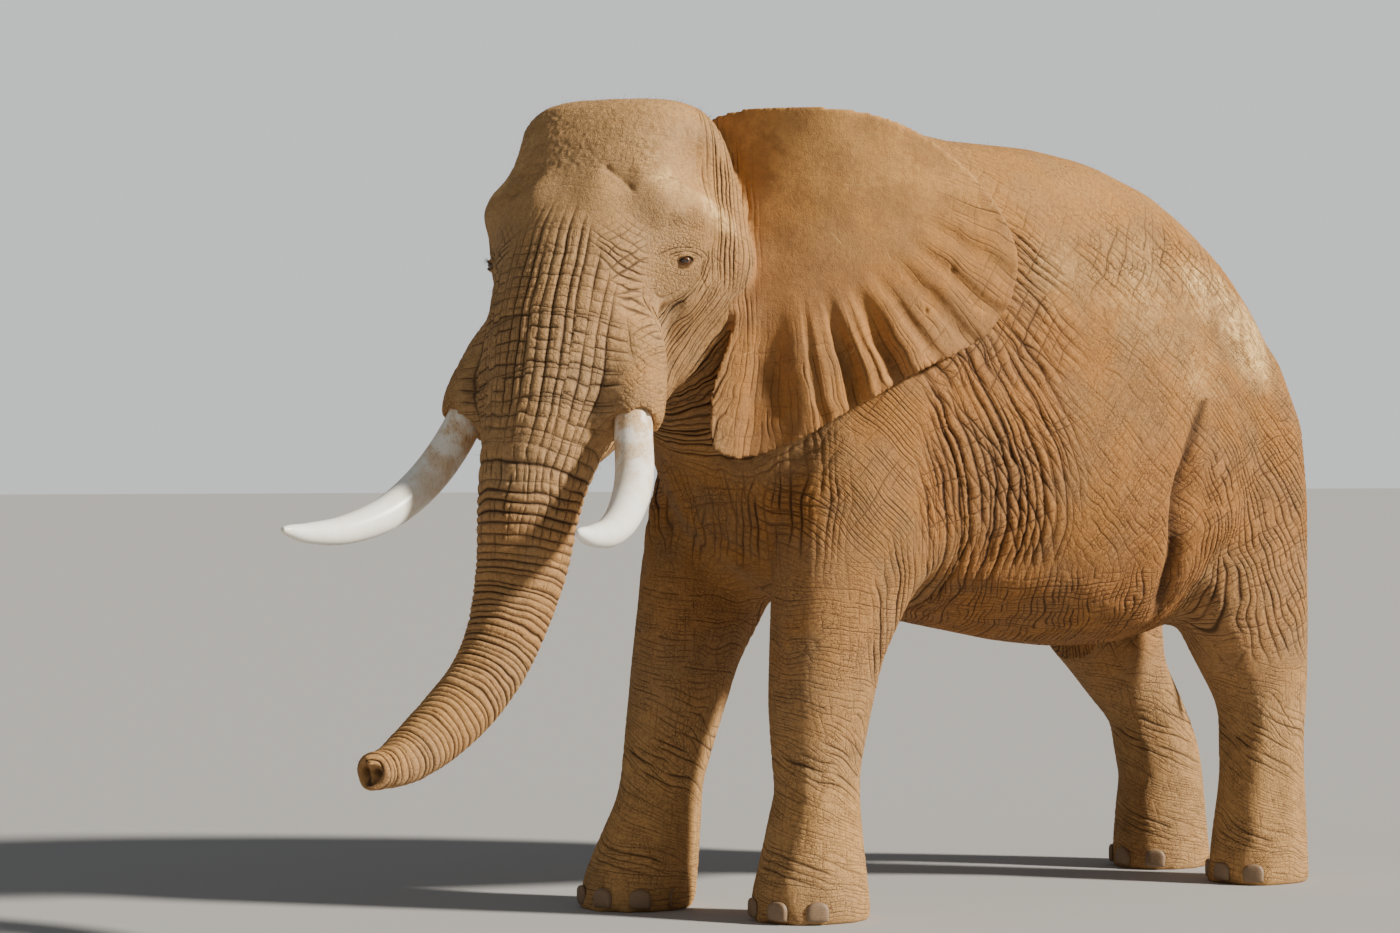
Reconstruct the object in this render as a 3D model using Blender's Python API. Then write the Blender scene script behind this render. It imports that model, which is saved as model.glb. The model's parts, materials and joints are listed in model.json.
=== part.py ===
"""A life-size African bush elephant bull, standing, its head turned to its left.

Metres, +Z up. The body looks along -Y, its left side is +X, and its soles are at z = 0.
The flesh is lofted in rough masses, fused into one form, shaped at named landmarks, and
then parted with thin cuts into the pieces that a person would name.
"""
import math

import bmesh
import bpy
from mathutils import Matrix, Vector
from mathutils.bvhtree import BVHTree

# ---------------------------------------------------------------- driving sizes (m)
MERGE = 0.00002             # points closer than this are one point
GAP = 0.0006                # clear space at every parting cut and in every pocket
EAR_GAP = 0.0025            # and between an ear and the head
VOXEL = 0.022               # grain of the fused flesh
FLESH_TRIANGLES = 3400      # budget of the whole body before it is parted
HEAD_COARSENESS = 0.72      # below 1, the head keeps more triangles than the rest
HEAD_BACK = -0.30           # where the head starts, ahead of the crown
LOWEST_OF_HEAD = 0.5        # the trunk's tip is above this, the forefeet below
UP = Vector((0.0, 0.0, 1.0))

HEAD_TURN = math.radians(30.0)          # the head looks this far to the animal's left
HEAD_AT = Vector((0.100, -1.877, 0.0))  # under the crown
HEAD_SIDE = Vector((math.cos(HEAD_TURN), math.sin(HEAD_TURN), 0.0))
HEAD_FORWARD = Vector((math.sin(HEAD_TURN), -math.cos(HEAD_TURN), 0.0))

EYE_RADIUS = 0.028
EYE_FORWARD = 0.235
EYE_HEIGHT = 2.487
EYE_SUNK = 0.020            # depth of the eye's centre under the skin

EAR_THICK = 0.034           # at the root, thinning to the rim
EAR_RIM = 0.012
EAR_LENGTH = 1.08           # root to rear rim

# Torso stations, head end first: y, top, bottom, half-width. The widest level lies
# WIDEST of the way up from belly to back.
WIDEST = 0.43
TORSO = [
    (-1.52, 2.72, 1.72, 0.34),
    (-1.36, 2.93, 1.42, 0.47),
    (-1.10, 3.05, 1.22, 0.62),
    (-0.75, 3.10, 1.16, 0.70),
    (-0.35, 3.05, 1.09, 0.76),
    (0.02, 3.035, 1.02, 0.79),
    (0.32, 2.995, 0.99, 0.79),
    (0.62, 2.89, 1.01, 0.74),
    (0.90, 2.71, 1.13, 0.64),
    (1.13, 2.49, 1.38, 0.49),
    (1.30, 2.24, 1.66, 0.30),
]

# Neck stations: x, y, z of the centre, half-width, half-height.
NECK = [
    (0.10, -1.78, 2.56, 0.32, 0.38),
    (0.06, -1.58, 2.48, 0.38, 0.48),
    (0.02, -1.32, 2.32, 0.47, 0.60),
    (0.00, -1.02, 2.18, 0.58, 0.74),
]

# Skull stations, crown first: z, front, back (both ahead of the crown's centre), half-width.
SKULL = [
    (3.105, 0.12, -0.14, 0.22),
    (3.07, 0.20, -0.25, 0.32),
    (2.98, 0.28, -0.34, 0.385),
    (2.86, 0.35, -0.40, 0.420),
    (2.71, 0.41, -0.42, 0.470),
    (2.54, 0.42, -0.42, 0.482),
    (2.38, 0.42, -0.38, 0.450),
    (2.21, 0.42, -0.30, 0.370),
    (2.06, 0.40, -0.20, 0.300),
    (1.95, 0.36, -0.08, 0.225),
]

# Trunk, from inside the brow to the tip: ahead, to the left, height, half-width, half-depth.
TRUNK = [
    (0.16, 0.00, 2.86, 0.27, 0.17),
    (0.28, 0.00, 2.62, 0.325, 0.21),
    (0.38, 0.00, 2.36, 0.320, 0.24),
    (0.48, 0.00, 2.12, 0.280, 0.24),
    (0.57, 0.00, 1.88, 0.242, 0.225),
    (0.63, -0.02, 1.68, 0.206, 0.198),
    (0.665, -0.025, 1.54, 0.188, 0.183),
    (0.69, -0.03, 1.39, 0.172, 0.170),
    (0.735, -0.045, 1.235, 0.153, 0.153),
    (0.80, -0.065, 1.08, 0.136, 0.136),
    (0.89, -0.09, 0.96, 0.128, 0.128),
    (1.00, -0.12, 0.865, 0.124, 0.122),
    (1.12, -0.15, 0.785, 0.116, 0.112),
    (1.25, -0.175, 0.720, 0.102, 0.096),
    (1.37, -0.19, 0.685, 0.086, 0.078),
    (1.47, -0.195, 0.680, 0.070, 0.062),
]

# Tusk sheath, left side: to the left, ahead, height, radius.
SHEATH = [
    (0.22, 0.34, 2.30, 0.12),
    (0.27, 0.42, 2.13, 0.135),
    (0.315, 0.50, 1.98, 0.130),
    (0.355, 0.565, 1.87, 0.108),
]

# Tusk, left side, root to tip: to the left, ahead, height, radius.
TUSK = [
    (0.330, 0.515, 2.00, 0.068),
    (0.362, 0.580, 1.85, 0.070),
    (0.425, 0.700, 1.685, 0.070),
    (0.480, 0.880, 1.565, 0.064),
    (0.530, 1.090, 1.505, 0.053),
    (0.562, 1.280, 1.495, 0.038),
    (0.578, 1.390, 1.505, 0.020),
    (0.583, 1.425, 1.510, 0.008),
]

# Lower jaw and lip: ahead, height, half-width, half-height.
JAW = [
    (-0.04, 2.11, 0.26, 0.16),
    (0.09, 2.00, 0.215, 0.150),
    (0.19, 1.90, 0.165, 0.122),
    (0.27, 1.81, 0.115, 0.090),
    (0.325, 1.745, 0.072, 0.060),
    (0.350, 1.710, 0.040, 0.034),
]
JAW_MARGIN = 0.035          # the lower jaw is parted off this far outside its own outline

# Left foreleg, top first: height, x, y, half-width, half-length.
FORELEG = [
    (2.15, 0.40, -0.82, 0.24, 0.36),
    (1.90, 0.43, -0.87, 0.245, 0.40),
    (1.62, 0.425, -0.94, 0.238, 0.390),
    (1.42, 0.410, -0.99, 0.230, 0.355),
    (1.21, 0.390, -1.05, 0.215, 0.288),
    (1.00, 0.372, -1.10, 0.197, 0.232),
    (0.83, 0.362, -1.125, 0.184, 0.204),
    (0.66, 0.358, -1.135, 0.168, 0.182),
    (0.50, 0.357, -1.140, 0.160, 0.170),
    (0.34, 0.358, -1.150, 0.174, 0.188),
    (0.17, 0.360, -1.165, 0.202, 0.220),
    (0.05, 0.360, -1.170, 0.214, 0.232),
    (-0.04, 0.360, -1.170, 0.214, 0.232),
]
RIGHT_FORE_STEP = -0.33     # the right forefoot stands this far ahead of the left

# Left hind leg, top first: height, x, y, half-width, half-length.
HINDLEG = [
    (2.20, 0.28, 0.87, 0.25, 0.34),
    (1.95, 0.35, 0.89, 0.28, 0.385),
    (1.65, 0.38, 0.92, 0.274, 0.378),
    (1.38, 0.38, 0.95, 0.256, 0.362),
    (1.15, 0.370, 1.01, 0.232, 0.322),
    (0.95, 0.358, 1.085, 0.202, 0.265),
    (0.78, 0.350, 1.145, 0.176, 0.205),
    (0.62, 0.343, 1.168, 0.162, 0.184),
    (0.42, 0.340, 1.165, 0.166, 0.190),
    (0.25, 0.340, 1.158, 0.178, 0.202),
    (0.10, 0.340, 1.150, 0.194, 0.214),
    (0.03, 0.340, 1.147, 0.197, 0.218),
    (-0.04, 0.340, 1.147, 0.197, 0.218),
]
RIGHT_HIND_STEP = 0.06
RIGHT_KNEE_BEND = 0.20      # the right knee is carried this far forward of the left
KNEE_HEIGHT = 0.98

# Tail: x, y, z, radius.
TAIL = [
    (0.00, 1.16, 2.42, 0.085),
    (0.00, 1.28, 2.31, 0.078),
    (0.00, 1.375, 2.14, 0.060),
    (0.00, 1.415, 1.88, 0.046),
    (0.01, 1.430, 1.58, 0.037),
    (0.02, 1.430, 1.30, 0.030),
    (0.025, 1.425, 1.10, 0.026),
]
TUFT_LENGTH = 0.34

# Rim of the left ear, from the top of its root round the rear to the front of its lobe:
# behind the root line, height.
EAR_OUTLINE = [
    (-0.09, 3.03), (0.22, 3.08), (0.55, 3.035), (0.83, 2.88), (1.03, 2.66),
    (1.07, 2.44), (0.93, 2.22), (0.64, 2.09), (0.38, 1.93), (0.08, 1.775),
    (-0.11, 1.79), (-0.125, 2.00), (-0.04, 2.30), (-0.07, 2.66),
]

# What shows through the hide of the head: side, ahead, height, reach, then the push
# outward and forward.
HEAD_LANDMARKS = [
    ("temple hollow", 0.40, 0.10, 2.80, 0.22, -0.045, 0.0),
    ("brow ridge", 0.38, 0.30, 2.68, 0.17, 0.035, 0.030),
    ("cheekbone", 0.46, -0.10, 2.46, 0.22, 0.030, 0.0),
    ("hollow under the eye", 0.36, 0.42, 2.36, 0.18, -0.035, -0.015),
    ("cheek hollow", 0.36, 0.10, 2.18, 0.20, -0.030, 0.0),
    ("dip of the forehead", 0.00, 0.38, 2.78, 0.20, 0.0, -0.0125),
]

# The same for the body: x, y, z, reach, then the push outward and backward.
BODY_LANDMARKS = [
    ("shoulder blade", 0.66, -0.85, 2.25, 0.45, 0.035, 0.0),
    ("elbow", 0.48, -0.66, 1.42, 0.26, 0.035, 0.03),
    ("haunch", 0.60, 0.92, 2.20, 0.38, 0.025, 0.0),
    ("knee", 0.50, 0.72, 1.26, 0.30, 0.0, -0.04),
    ("loin hollow", 0.70, 0.48, 2.30, 0.35, -0.030, 0.0),
]

NAILS_FORE = 4
NAILS_HIND = 3
NAIL_WIDE = 0.088
NAIL_TALL = 0.078
NAIL_DEEP = 0.030
NAIL_SPREAD_FORE = math.radians(62)     # the outer nails lie this far round from the front
NAIL_SPREAD_HIND = math.radians(42)

HIDE = ((0.32, 0.19, 0.12), 0.9)
EAR_HIDE = ((0.30, 0.16, 0.10), 0.88)
IVORY = ((0.82, 0.77, 0.66), 0.4)
HORN = ((0.42, 0.33, 0.25), 0.6)
EYE = ((0.05, 0.03, 0.02), 0.1)
HAIR = ((0.06, 0.04, 0.03), 0.7)

# The ears: where each one's root stands in plan and how far it is spread, in degrees.
EAR_ROOTS = {1.0: ((0.455, -1.545), 21.0), -1.0: ((-0.34, -1.90), 29.0)}
EAR_MIDDLE = (0.40, 2.50)
EAR_RINGS = 5
EAR_BELLY = 0.07
EAR_EDGE_SHARE = 0.35
EAR_ROOT_TURN = 0.14
EAR_ROOT_LONG = 0.40
EAR_ROOT_LOW = 2.3
EAR_ROOT_TALL = 0.6
FAN_HEIGHT = 2.75
FAN_AHEAD = 0.1
PLEAT_DEEP = 0.020
PLEAT_RATE = 16.0
PLEAT_TOP = 2.45
PLEAT_ABOVE = 0.2

# Where the flesh is parted. A leg's block: foot y, leg y, half its length, height of its top.
FORE_BLOCK = (-1.17, -0.95, 0.46, 1.95)
HIND_BLOCK = (1.15, 1.00, 0.50, 2.10)
LEG_BLOCK_OUT = 0.56
LEG_BLOCK_HALF = 0.42
LEG_BLOCK_FOOT = (-0.2, 0.80)
LEG_BLOCK_FOOT_SHARE = 1.25
LEG_BLOCK_KNEE = 1.08
LEG_BLOCK_DOME = ((0.50, 1.0), (0.18, 0.82), (0.0, 0.35))
FORE_ANKLE = (0.36, -1.145, 0.36)
HIND_ANKLE = (0.34, 1.18, 0.34)
# Radius and length of the blocks that cut off the feet, the tail, the head and the neck.
FOOT_CUT = (1.0, 0.5)
TAIL_CUT = (0.0, 1.46, 2.02)
TAIL_CUT_SIZE = (0.12, 1.5)
HEAD_CUT = (1.7, 3.0)
NECK_CUT = (0.90, 1.5)
NAPE = (0.0, -0.34, 2.45)
HEAD_MIDDLE = (0.0, 0.0, 2.6)
NECK_MIDDLE = (0.0, -1.3, 2.3)
NECK_BACK = (0.0, -1.38, 2.25)
NECK_WAY = (0.0, -1.0, 0.12)
# Each trunk piece: its name, the station where it starts, the radius of its block.
TRUNK_CUTS = (("trunk_upper", 5, 0.90), ("trunk_middle", 8, 2.0), ("trunk_lower", 11, 2.0))
TRUNK_CUT_LONG = 2.0


# ---------------------------------------------------------------- small tools
def in_head(side, ahead, height):
    """A place given in the head's own directions."""
    return HEAD_AT + HEAD_SIDE * side + HEAD_FORWARD * ahead + UP * height


def smooth_rows(rows, steps):
    """More rows between the given ones, on a Catmull-Rom curve through them all."""
    last = len(rows) - 1
    finer = []
    for i in range(last):
        p, q, r, s = (rows[min(last, max(0, k))] for k in (i - 1, i, i + 1, i + 2))
        for step in range(steps):
            t = step / steps
            finer.append([
                0.5 * (2 * b + (c - a) * t + (2 * a - 5 * b + 4 * c - d) * t**2
                       + (3 * b - a - 3 * c + d) * t**3)
                for a, b, c, d in zip(p, q, r, s)])
    finer.append(list(rows[last]))
    return finer


def smooth_loop(rows, steps):
    """The same for a closed outline."""
    wrapped = [rows[-1]] + list(rows) + [rows[0], rows[1]]
    return smooth_rows(wrapped, steps)[steps:-2 * steps]


def new_object(name, mesh_builder):
    """An object whose mesh is what was built in mesh_builder, with its faces out."""
    bmesh.ops.recalc_face_normals(mesh_builder, faces=mesh_builder.faces)
    mesh = bpy.data.meshes.new(name)
    mesh_builder.to_mesh(mesh)
    mesh_builder.free()
    piece = bpy.data.objects.new(name, mesh)
    bpy.context.scene.collection.objects.link(piece)
    return piece


def loft(name, rings):
    """A closed body through rings of equally many points."""
    builder = bmesh.new()
    loops = [[builder.verts.new(point) for point in ring] for ring in rings]
    count = len(rings[0])
    for lower, upper in zip(loops, loops[1:]):
        for i in range(count):
            j = (i + 1) % count
            builder.faces.new((lower[i], lower[j], upper[j], upper[i]))
    builder.faces.new(loops[0])
    builder.faces.new(loops[-1])
    return new_object(name, builder)


def oval(centre, across, upward, half_across, half_up, half_down=None, power=2.0, count=28):
    """A superellipse ring; its lower half may be deeper than its upper half."""
    half_down = half_up if half_down is None else half_down
    points = []
    for i in range(count):
        turn = 2.0 * math.pi * i / count
        cosine = math.copysign(abs(math.cos(turn))**(2.0 / power), math.cos(turn))
        sine = math.copysign(abs(math.sin(turn))**(2.0 / power), math.sin(turn))
        rise = half_up if sine > 0 else half_down
        points.append(centre + across * (half_across * cosine) + upward * (rise * sine))
    return points


def tube(name, path, count=20, across_hint=HEAD_SIDE):
    """A body along a path of (centre, half across, half deep)."""
    rings = []
    for i, (centre, half_across, half_deep) in enumerate(path):
        before = path[max(0, i - 1)][0]
        after = path[min(len(path) - 1, i + 1)][0]
        along = (after - before).normalized()
        across = (across_hint - along * across_hint.dot(along)).normalized()
        rings.append(oval(centre, across, across.cross(along), half_across, half_deep, count=count))
    return loft(name, rings)


def apply_modifier(piece, kind, **settings):
    """Adds one modifier to a piece and makes it part of the mesh."""
    modifier = piece.modifiers.new(kind, kind)
    for key, value in settings.items():
        setattr(modifier, key, value)
    with bpy.context.temp_override(object=piece, active_object=piece, selected_objects=[piece]):
        bpy.ops.object.modifier_apply(modifier=modifier.name)


def join(name, pieces):
    """One object of several; the shells stay as they are."""
    builder = bmesh.new()
    for piece in pieces:
        builder.from_mesh(piece.data)
        bpy.data.objects.remove(piece)
    return new_object(name, builder)


def subtract(piece, cutter):
    """Cuts one piece with another, which is used up."""
    apply_modifier(piece, "BOOLEAN", operation="DIFFERENCE", solver="EXACT", object=cutter)
    bpy.data.objects.remove(cutter)


def grown(piece, name, distance):
    """A copy of a piece, larger all round by a distance."""
    copy = piece.copy()
    copy.data = piece.data.copy()
    copy.name = name
    bpy.context.scene.collection.objects.link(copy)
    apply_modifier(copy, "DISPLACE", strength=distance, mid_level=0.0)
    return copy


def flatten(piece):
    """Joins the slivers that a cut leaves in one flat face."""
    builder = bmesh.new()
    builder.from_mesh(piece.data)
    bmesh.ops.dissolve_limit(builder, angle_limit=math.radians(0.02), verts=builder.verts,
                             edges=builder.edges)
    bmesh.ops.triangulate(builder, faces=builder.faces)
    bmesh.ops.remove_doubles(builder, verts=builder.verts, dist=MERGE)
    bmesh.ops.dissolve_degenerate(builder, edges=builder.edges, dist=MERGE)
    builder.to_mesh(piece.data)
    builder.free()


def keep_largest(piece):
    """Drops crumbs that a cut leaves loose."""
    builder = bmesh.new()
    builder.from_mesh(piece.data)
    left = set(builder.verts)
    shells = []
    while left:
        shell = [left.pop()]
        for vertex in shell:
            for edge in vertex.link_edges:
                other = edge.other_vert(vertex)
                if other in left:
                    left.remove(other)
                    shell.append(other)
        shells.append(shell)
    shells.sort(key=len)
    for shell in shells[:-1]:
        bmesh.ops.delete(builder, geom=shell, context="VERTS")
    builder.to_mesh(piece.data)
    builder.free()


def paint(piece, finish):
    """Gives a piece its own material."""
    colour, roughness = finish
    material = bpy.data.materials.new(piece.name + "_finish")
    material.use_nodes = True
    shader = material.node_tree.nodes["Principled BSDF"]
    shader.inputs["Base Color"].default_value = (*colour, 1.0)
    shader.inputs["Roughness"].default_value = roughness
    shader.inputs["Metallic"].default_value = 0.0
    piece.data.materials.clear()
    piece.data.materials.append(material)


# ---------------------------------------------------------------- masses of flesh
def torso_mass():
    rings = []
    for y, top, bottom, half in smooth_rows(TORSO, 4):
        level = bottom + WIDEST * (top - bottom)
        rings.append(oval(Vector((0.0, y, level)), Vector((1.0, 0.0, 0.0)), UP, half,
                          top - level, level - bottom, power=2.15, count=40))
    return loft("torso_mass", rings)


def neck_mass():
    path = [(Vector(row[:3]), row[3], row[4]) for row in smooth_rows(NECK, 4)]
    return tube("neck_mass", path, 32, Vector((1.0, 0.0, 0.0)))


def skull_mass():
    rings = []
    for z, front, back, half in smooth_rows(SKULL, 4):
        middle = in_head(0.0, (front + back) / 2.0, z)
        rings.append(oval(middle, HEAD_SIDE, HEAD_FORWARD, half, (front - back) / 2.0,
                          power=2.3, count=36))
    return loft("skull_mass", rings)


def trunk_mass():
    path = [(in_head(side, ahead, z), half, deep)
            for ahead, side, z, half, deep in smooth_rows(TRUNK, 4)]
    return tube("trunk_mass", path, 28)


def trunk_fingers():
    """The two lips that close the end of the trunk, the upper one longer."""
    ahead, side, z, half, deep = TRUNK[-1]
    lips = []
    for name, rise, reach in (("upper", 0.6, 0.075), ("lower", -0.6, 0.045)):
        start = in_head(side, ahead - 0.05, z + rise * deep)
        tip = in_head(side, ahead + reach, z + 0.8 * rise * deep)
        path = [(start, 0.6 * half, 0.45 * deep), (start.lerp(tip, 0.6), 0.5 * half, 0.35 * deep),
                (tip, 0.2 * half, 0.16 * deep)]
        lips.append(tube("trunk_lip_" + name, path, 14))
    return lips


def sheath_mass(sign):
    path = [(in_head(sign * side, ahead, z), radius, radius)
            for side, ahead, z, radius in smooth_rows(SHEATH, 4)]
    return tube("sheath_mass", path, 20)


def jaw_mass():
    path = [(in_head(0.0, ahead, z), half, deep) for ahead, z, half, deep in smooth_rows(JAW, 4)]
    return tube("jaw_mass", path, 24)


def leg_mass(stations, sign, step, bend=0.0):
    """A leg; its foot is moved along y by step, which fades upward, and its knee by bend."""
    rings = []
    for z, x, y, half_x, half_y in smooth_rows(stations, 4):
        shift = step * max(0.0, 1.0 - max(z, 0.0) / 1.7)
        shift -= bend * math.exp(-((z - KNEE_HEIGHT) / 0.32)**2)
        centre = Vector((sign * x, y + shift, z))
        rings.append(oval(centre, Vector((1.0, 0.0, 0.0)), Vector((0.0, -1.0, 0.0)),
                          half_x, half_y, power=2.15, count=28))
    return loft("leg_mass", rings)


def tail_mass():
    path = [(Vector(row[:3]), row[3], row[3]) for row in smooth_rows(TAIL, 4)]
    return tube("tail_mass", path, 16, Vector((1.0, 0.0, 0.0)))


def swell(builder, centre, reach, push):
    """Moves the flesh near a landmark, fading to nothing at its reach."""
    for vertex in builder.verts:
        distance = (vertex.co - centre).length / reach
        if distance < 1.0:
            vertex.co += push * (1.0 - distance * distance)**2


def shape_landmarks(flesh):
    """Bone and muscle that show through the hide, alike on both sides."""
    builder = bmesh.new()
    builder.from_mesh(flesh.data)
    for sign in (1.0, -1.0):
        for _name, side, ahead, height, reach, outward, forward in HEAD_LANDMARKS:
            swell(builder, in_head(sign * side, ahead, height), reach,
                  HEAD_SIDE * (sign * outward) + HEAD_FORWARD * forward)
        for _name, x, y, z, reach, outward, backward in BODY_LANDMARKS:
            swell(builder, Vector((sign * x, y, z)), reach, Vector((sign * outward, backward, 0.0)))
    builder.to_mesh(flesh.data)
    builder.free()


def fused_flesh():
    masses = [torso_mass(), neck_mass(), skull_mass(), trunk_mass(), jaw_mass(), tail_mass()]
    masses += trunk_fingers()
    for sign in (1.0, -1.0):
        masses.append(sheath_mass(sign))
        masses.append(leg_mass(FORELEG, sign, 0.0 if sign > 0 else RIGHT_FORE_STEP))
        masses.append(leg_mass(HINDLEG, sign, 0.0 if sign > 0 else RIGHT_HIND_STEP,
                               0.0 if sign > 0 else RIGHT_KNEE_BEND))
    flesh = join("flesh", masses)
    apply_modifier(flesh, "REMESH", mode="VOXEL", voxel_size=VOXEL, adaptivity=0.0)
    apply_modifier(flesh, "SMOOTH", factor=0.5, iterations=6)
    shape_landmarks(flesh)
    return flesh


# ---------------------------------------------------------------- pieces set in the flesh
def tusk(name, sign):
    path = [(in_head(sign * side, ahead, z), radius, radius)
            for side, ahead, z, radius in smooth_rows(TUSK, 2)]
    return tube(name, path, 10)


def skin_point(tree, start, direction):
    """Where a ray from outside meets the flesh."""
    place, _normal, _index, _distance = tree.ray_cast(start, direction)
    return place


def eye(name, sign, tree):
    start = in_head(sign * 1.2, EYE_FORWARD, EYE_HEIGHT)
    surface = skin_point(tree, start, -sign * HEAD_SIDE)
    centre = surface - sign * HEAD_SIDE * EYE_SUNK
    builder = bmesh.new()
    bmesh.ops.create_icosphere(builder, subdivisions=2, radius=EYE_RADIUS,
                               matrix=Matrix.Translation(centre))
    return new_object(name, builder)


def nails(prefix, foot_centre, count, spread, tree):
    """Flat ovals round the front of a foot."""
    made = []
    for i in range(count):
        turn = spread * (i / (count - 1) - 0.5) * 2.0
        outward = Vector((math.sin(turn), -math.cos(turn), 0.0))
        start = foot_centre + outward * 0.6 + UP * (0.012 + NAIL_TALL / 2.0)
        surface = skin_point(tree, start, -outward)
        side = UP.cross(outward)
        turned = Matrix((side, outward, UP)).transposed().to_4x4()
        size = Matrix.Diagonal((NAIL_WIDE / 2.0, NAIL_DEEP / 2.0, NAIL_TALL / 2.0, 1.0))
        builder = bmesh.new()
        bmesh.ops.create_icosphere(builder, subdivisions=1, radius=1.0,
                                   matrix=Matrix.Translation(surface) @ turned @ size)
        made.append(new_object("%s_%d" % (prefix, i + 1), builder))
    return made


# ---------------------------------------------------------------- ears
def within(value):
    """The value kept between 0 and 1."""
    return min(1.0, max(0.0, value))


def ear_lift(behind, height, part):
    """How far the ear's sheet stands off its flat plane; part is 1 at the rim."""
    belly = EAR_BELLY * math.sin(math.pi * within(behind / EAR_LENGTH))
    at_top = within((height - EAR_ROOT_LOW) / EAR_ROOT_TALL)
    at_root = max(0.0, 1.0 - behind / EAR_ROOT_LONG)**2
    turn = math.atan2(height - FAN_HEIGHT, behind + FAN_AHEAD)
    pleat = PLEAT_DEEP * math.sin(PLEAT_RATE * turn) * part**3
    if height > PLEAT_TOP:
        pleat *= PLEAT_ABOVE
    return belly - EAR_ROOT_TURN * at_root * at_top + pleat


def ear(name, sign):
    """A broad sheet from the side of the head back over the shoulder, with a drooping lobe."""
    (root_x, root_y), flare = EAR_ROOTS[sign]
    root = Vector((root_x, root_y, 0.0))
    flare = math.radians(flare)
    back = Vector((sign * math.sin(flare), math.cos(flare), 0.0))
    out = Vector((sign * math.cos(flare), -math.sin(flare), 0.0))
    outline = smooth_loop(EAR_OUTLINE, 2)
    middle = Vector(EAR_MIDDLE)
    rings = EAR_RINGS
    sides = ([], [])
    for k in range(rings + 1):
        part = k / rings
        for behind, height in outline:
            a = middle.x + (behind - middle.x) * part
            z = middle.y + (height - middle.y) * part
            thick = EAR_RIM + (EAR_THICK - EAR_RIM) * (1.0 - part)
            thick *= EAR_EDGE_SHARE if k == rings else 1.0
            for face, offset in enumerate((thick / 2.0, -thick / 2.0)):
                lift = ear_lift(a, z, part) + offset
                sides[face].append(root + back * a + out * lift + UP * z)
    builder = bmesh.new()
    count = len(outline)
    grids = []
    for points in sides:
        hub = builder.verts.new(points[0])
        rows = [[builder.verts.new(points[k * count + i]) for i in range(count)]
                for k in range(1, rings + 1)]
        grids.append(rows)
        for i in range(count):
            j = (i + 1) % count
            builder.faces.new((hub, rows[0][i], rows[0][j]))
            for inner, outer in zip(rows, rows[1:]):
                builder.faces.new((inner[i], outer[i], outer[j], inner[j]))
    for i in range(count):
        j = (i + 1) % count
        builder.faces.new((grids[0][-1][i], grids[1][-1][i], grids[1][-1][j], grids[0][-1][j]))
    return new_object(name, builder)


def tail_tuft():
    """The flat brush of stiff hair at the end of the tail, as one solid."""
    x, y, z, radius = TAIL[-1]
    top = Vector((x, y, z - GAP))
    path = []
    for drop, wide, deep in ((0.0, 0.95 * radius, 0.95 * radius), (0.10, 0.045, 0.075),
                             (0.22, 0.035, 0.085), (TUFT_LENGTH, 0.010, 0.030)):
        path.append((top - UP * drop, wide, deep))
    return tube("tail_tuft", path, 12, Vector((1.0, 0.0, 0.0)))


# ---------------------------------------------------------------- parting
def beyond(place, normal, radius, depth):
    """A round block that starts at a plane and runs along its normal."""
    turned = Vector(normal).normalized().to_track_quat("Z", "Y").to_matrix().to_4x4()
    middle = Matrix.Translation((0.0, 0.0, depth / 2.0))
    builder = bmesh.new()
    bmesh.ops.create_cone(builder, cap_ends=True, segments=24, radius1=radius, radius2=radius,
                          depth=depth, matrix=Matrix.Translation(place) @ turned @ middle)
    return new_object("region", builder)


def leg_region(sign, foot_y, y, half_y, top):
    """A domed block round one leg and the muscle that it hangs from, wider about the foot."""
    stations = [(z, foot_y, LEG_BLOCK_FOOT_SHARE) for z in LEG_BLOCK_FOOT]
    stations.append((LEG_BLOCK_KNEE, y, 1.0))
    stations += [(top - drop, y, part) for drop, part in LEG_BLOCK_DOME]
    rings = []
    for z, middle, part in stations:
        centre = Vector((sign * LEG_BLOCK_OUT, middle, z))
        rings.append(oval(centre, Vector((1.0, 0.0, 0.0)), Vector((0.0, -1.0, 0.0)),
                          LEG_BLOCK_HALF * part, half_y * part, power=2.6, count=12))
    return loft("region", rings)


def part_off(body, name, region):
    """Takes the flesh inside a region away from body, under its own name."""
    piece = body.copy()
    piece.data = body.data.copy()
    piece.name = name
    bpy.context.scene.collection.objects.link(piece)
    subtract(body, grown(region, "region_outer", 1.5 * GAP))
    apply_modifier(piece, "BOOLEAN", operation="INTERSECT", solver="EXACT", object=region)
    bpy.data.objects.remove(region)
    return piece


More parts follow.
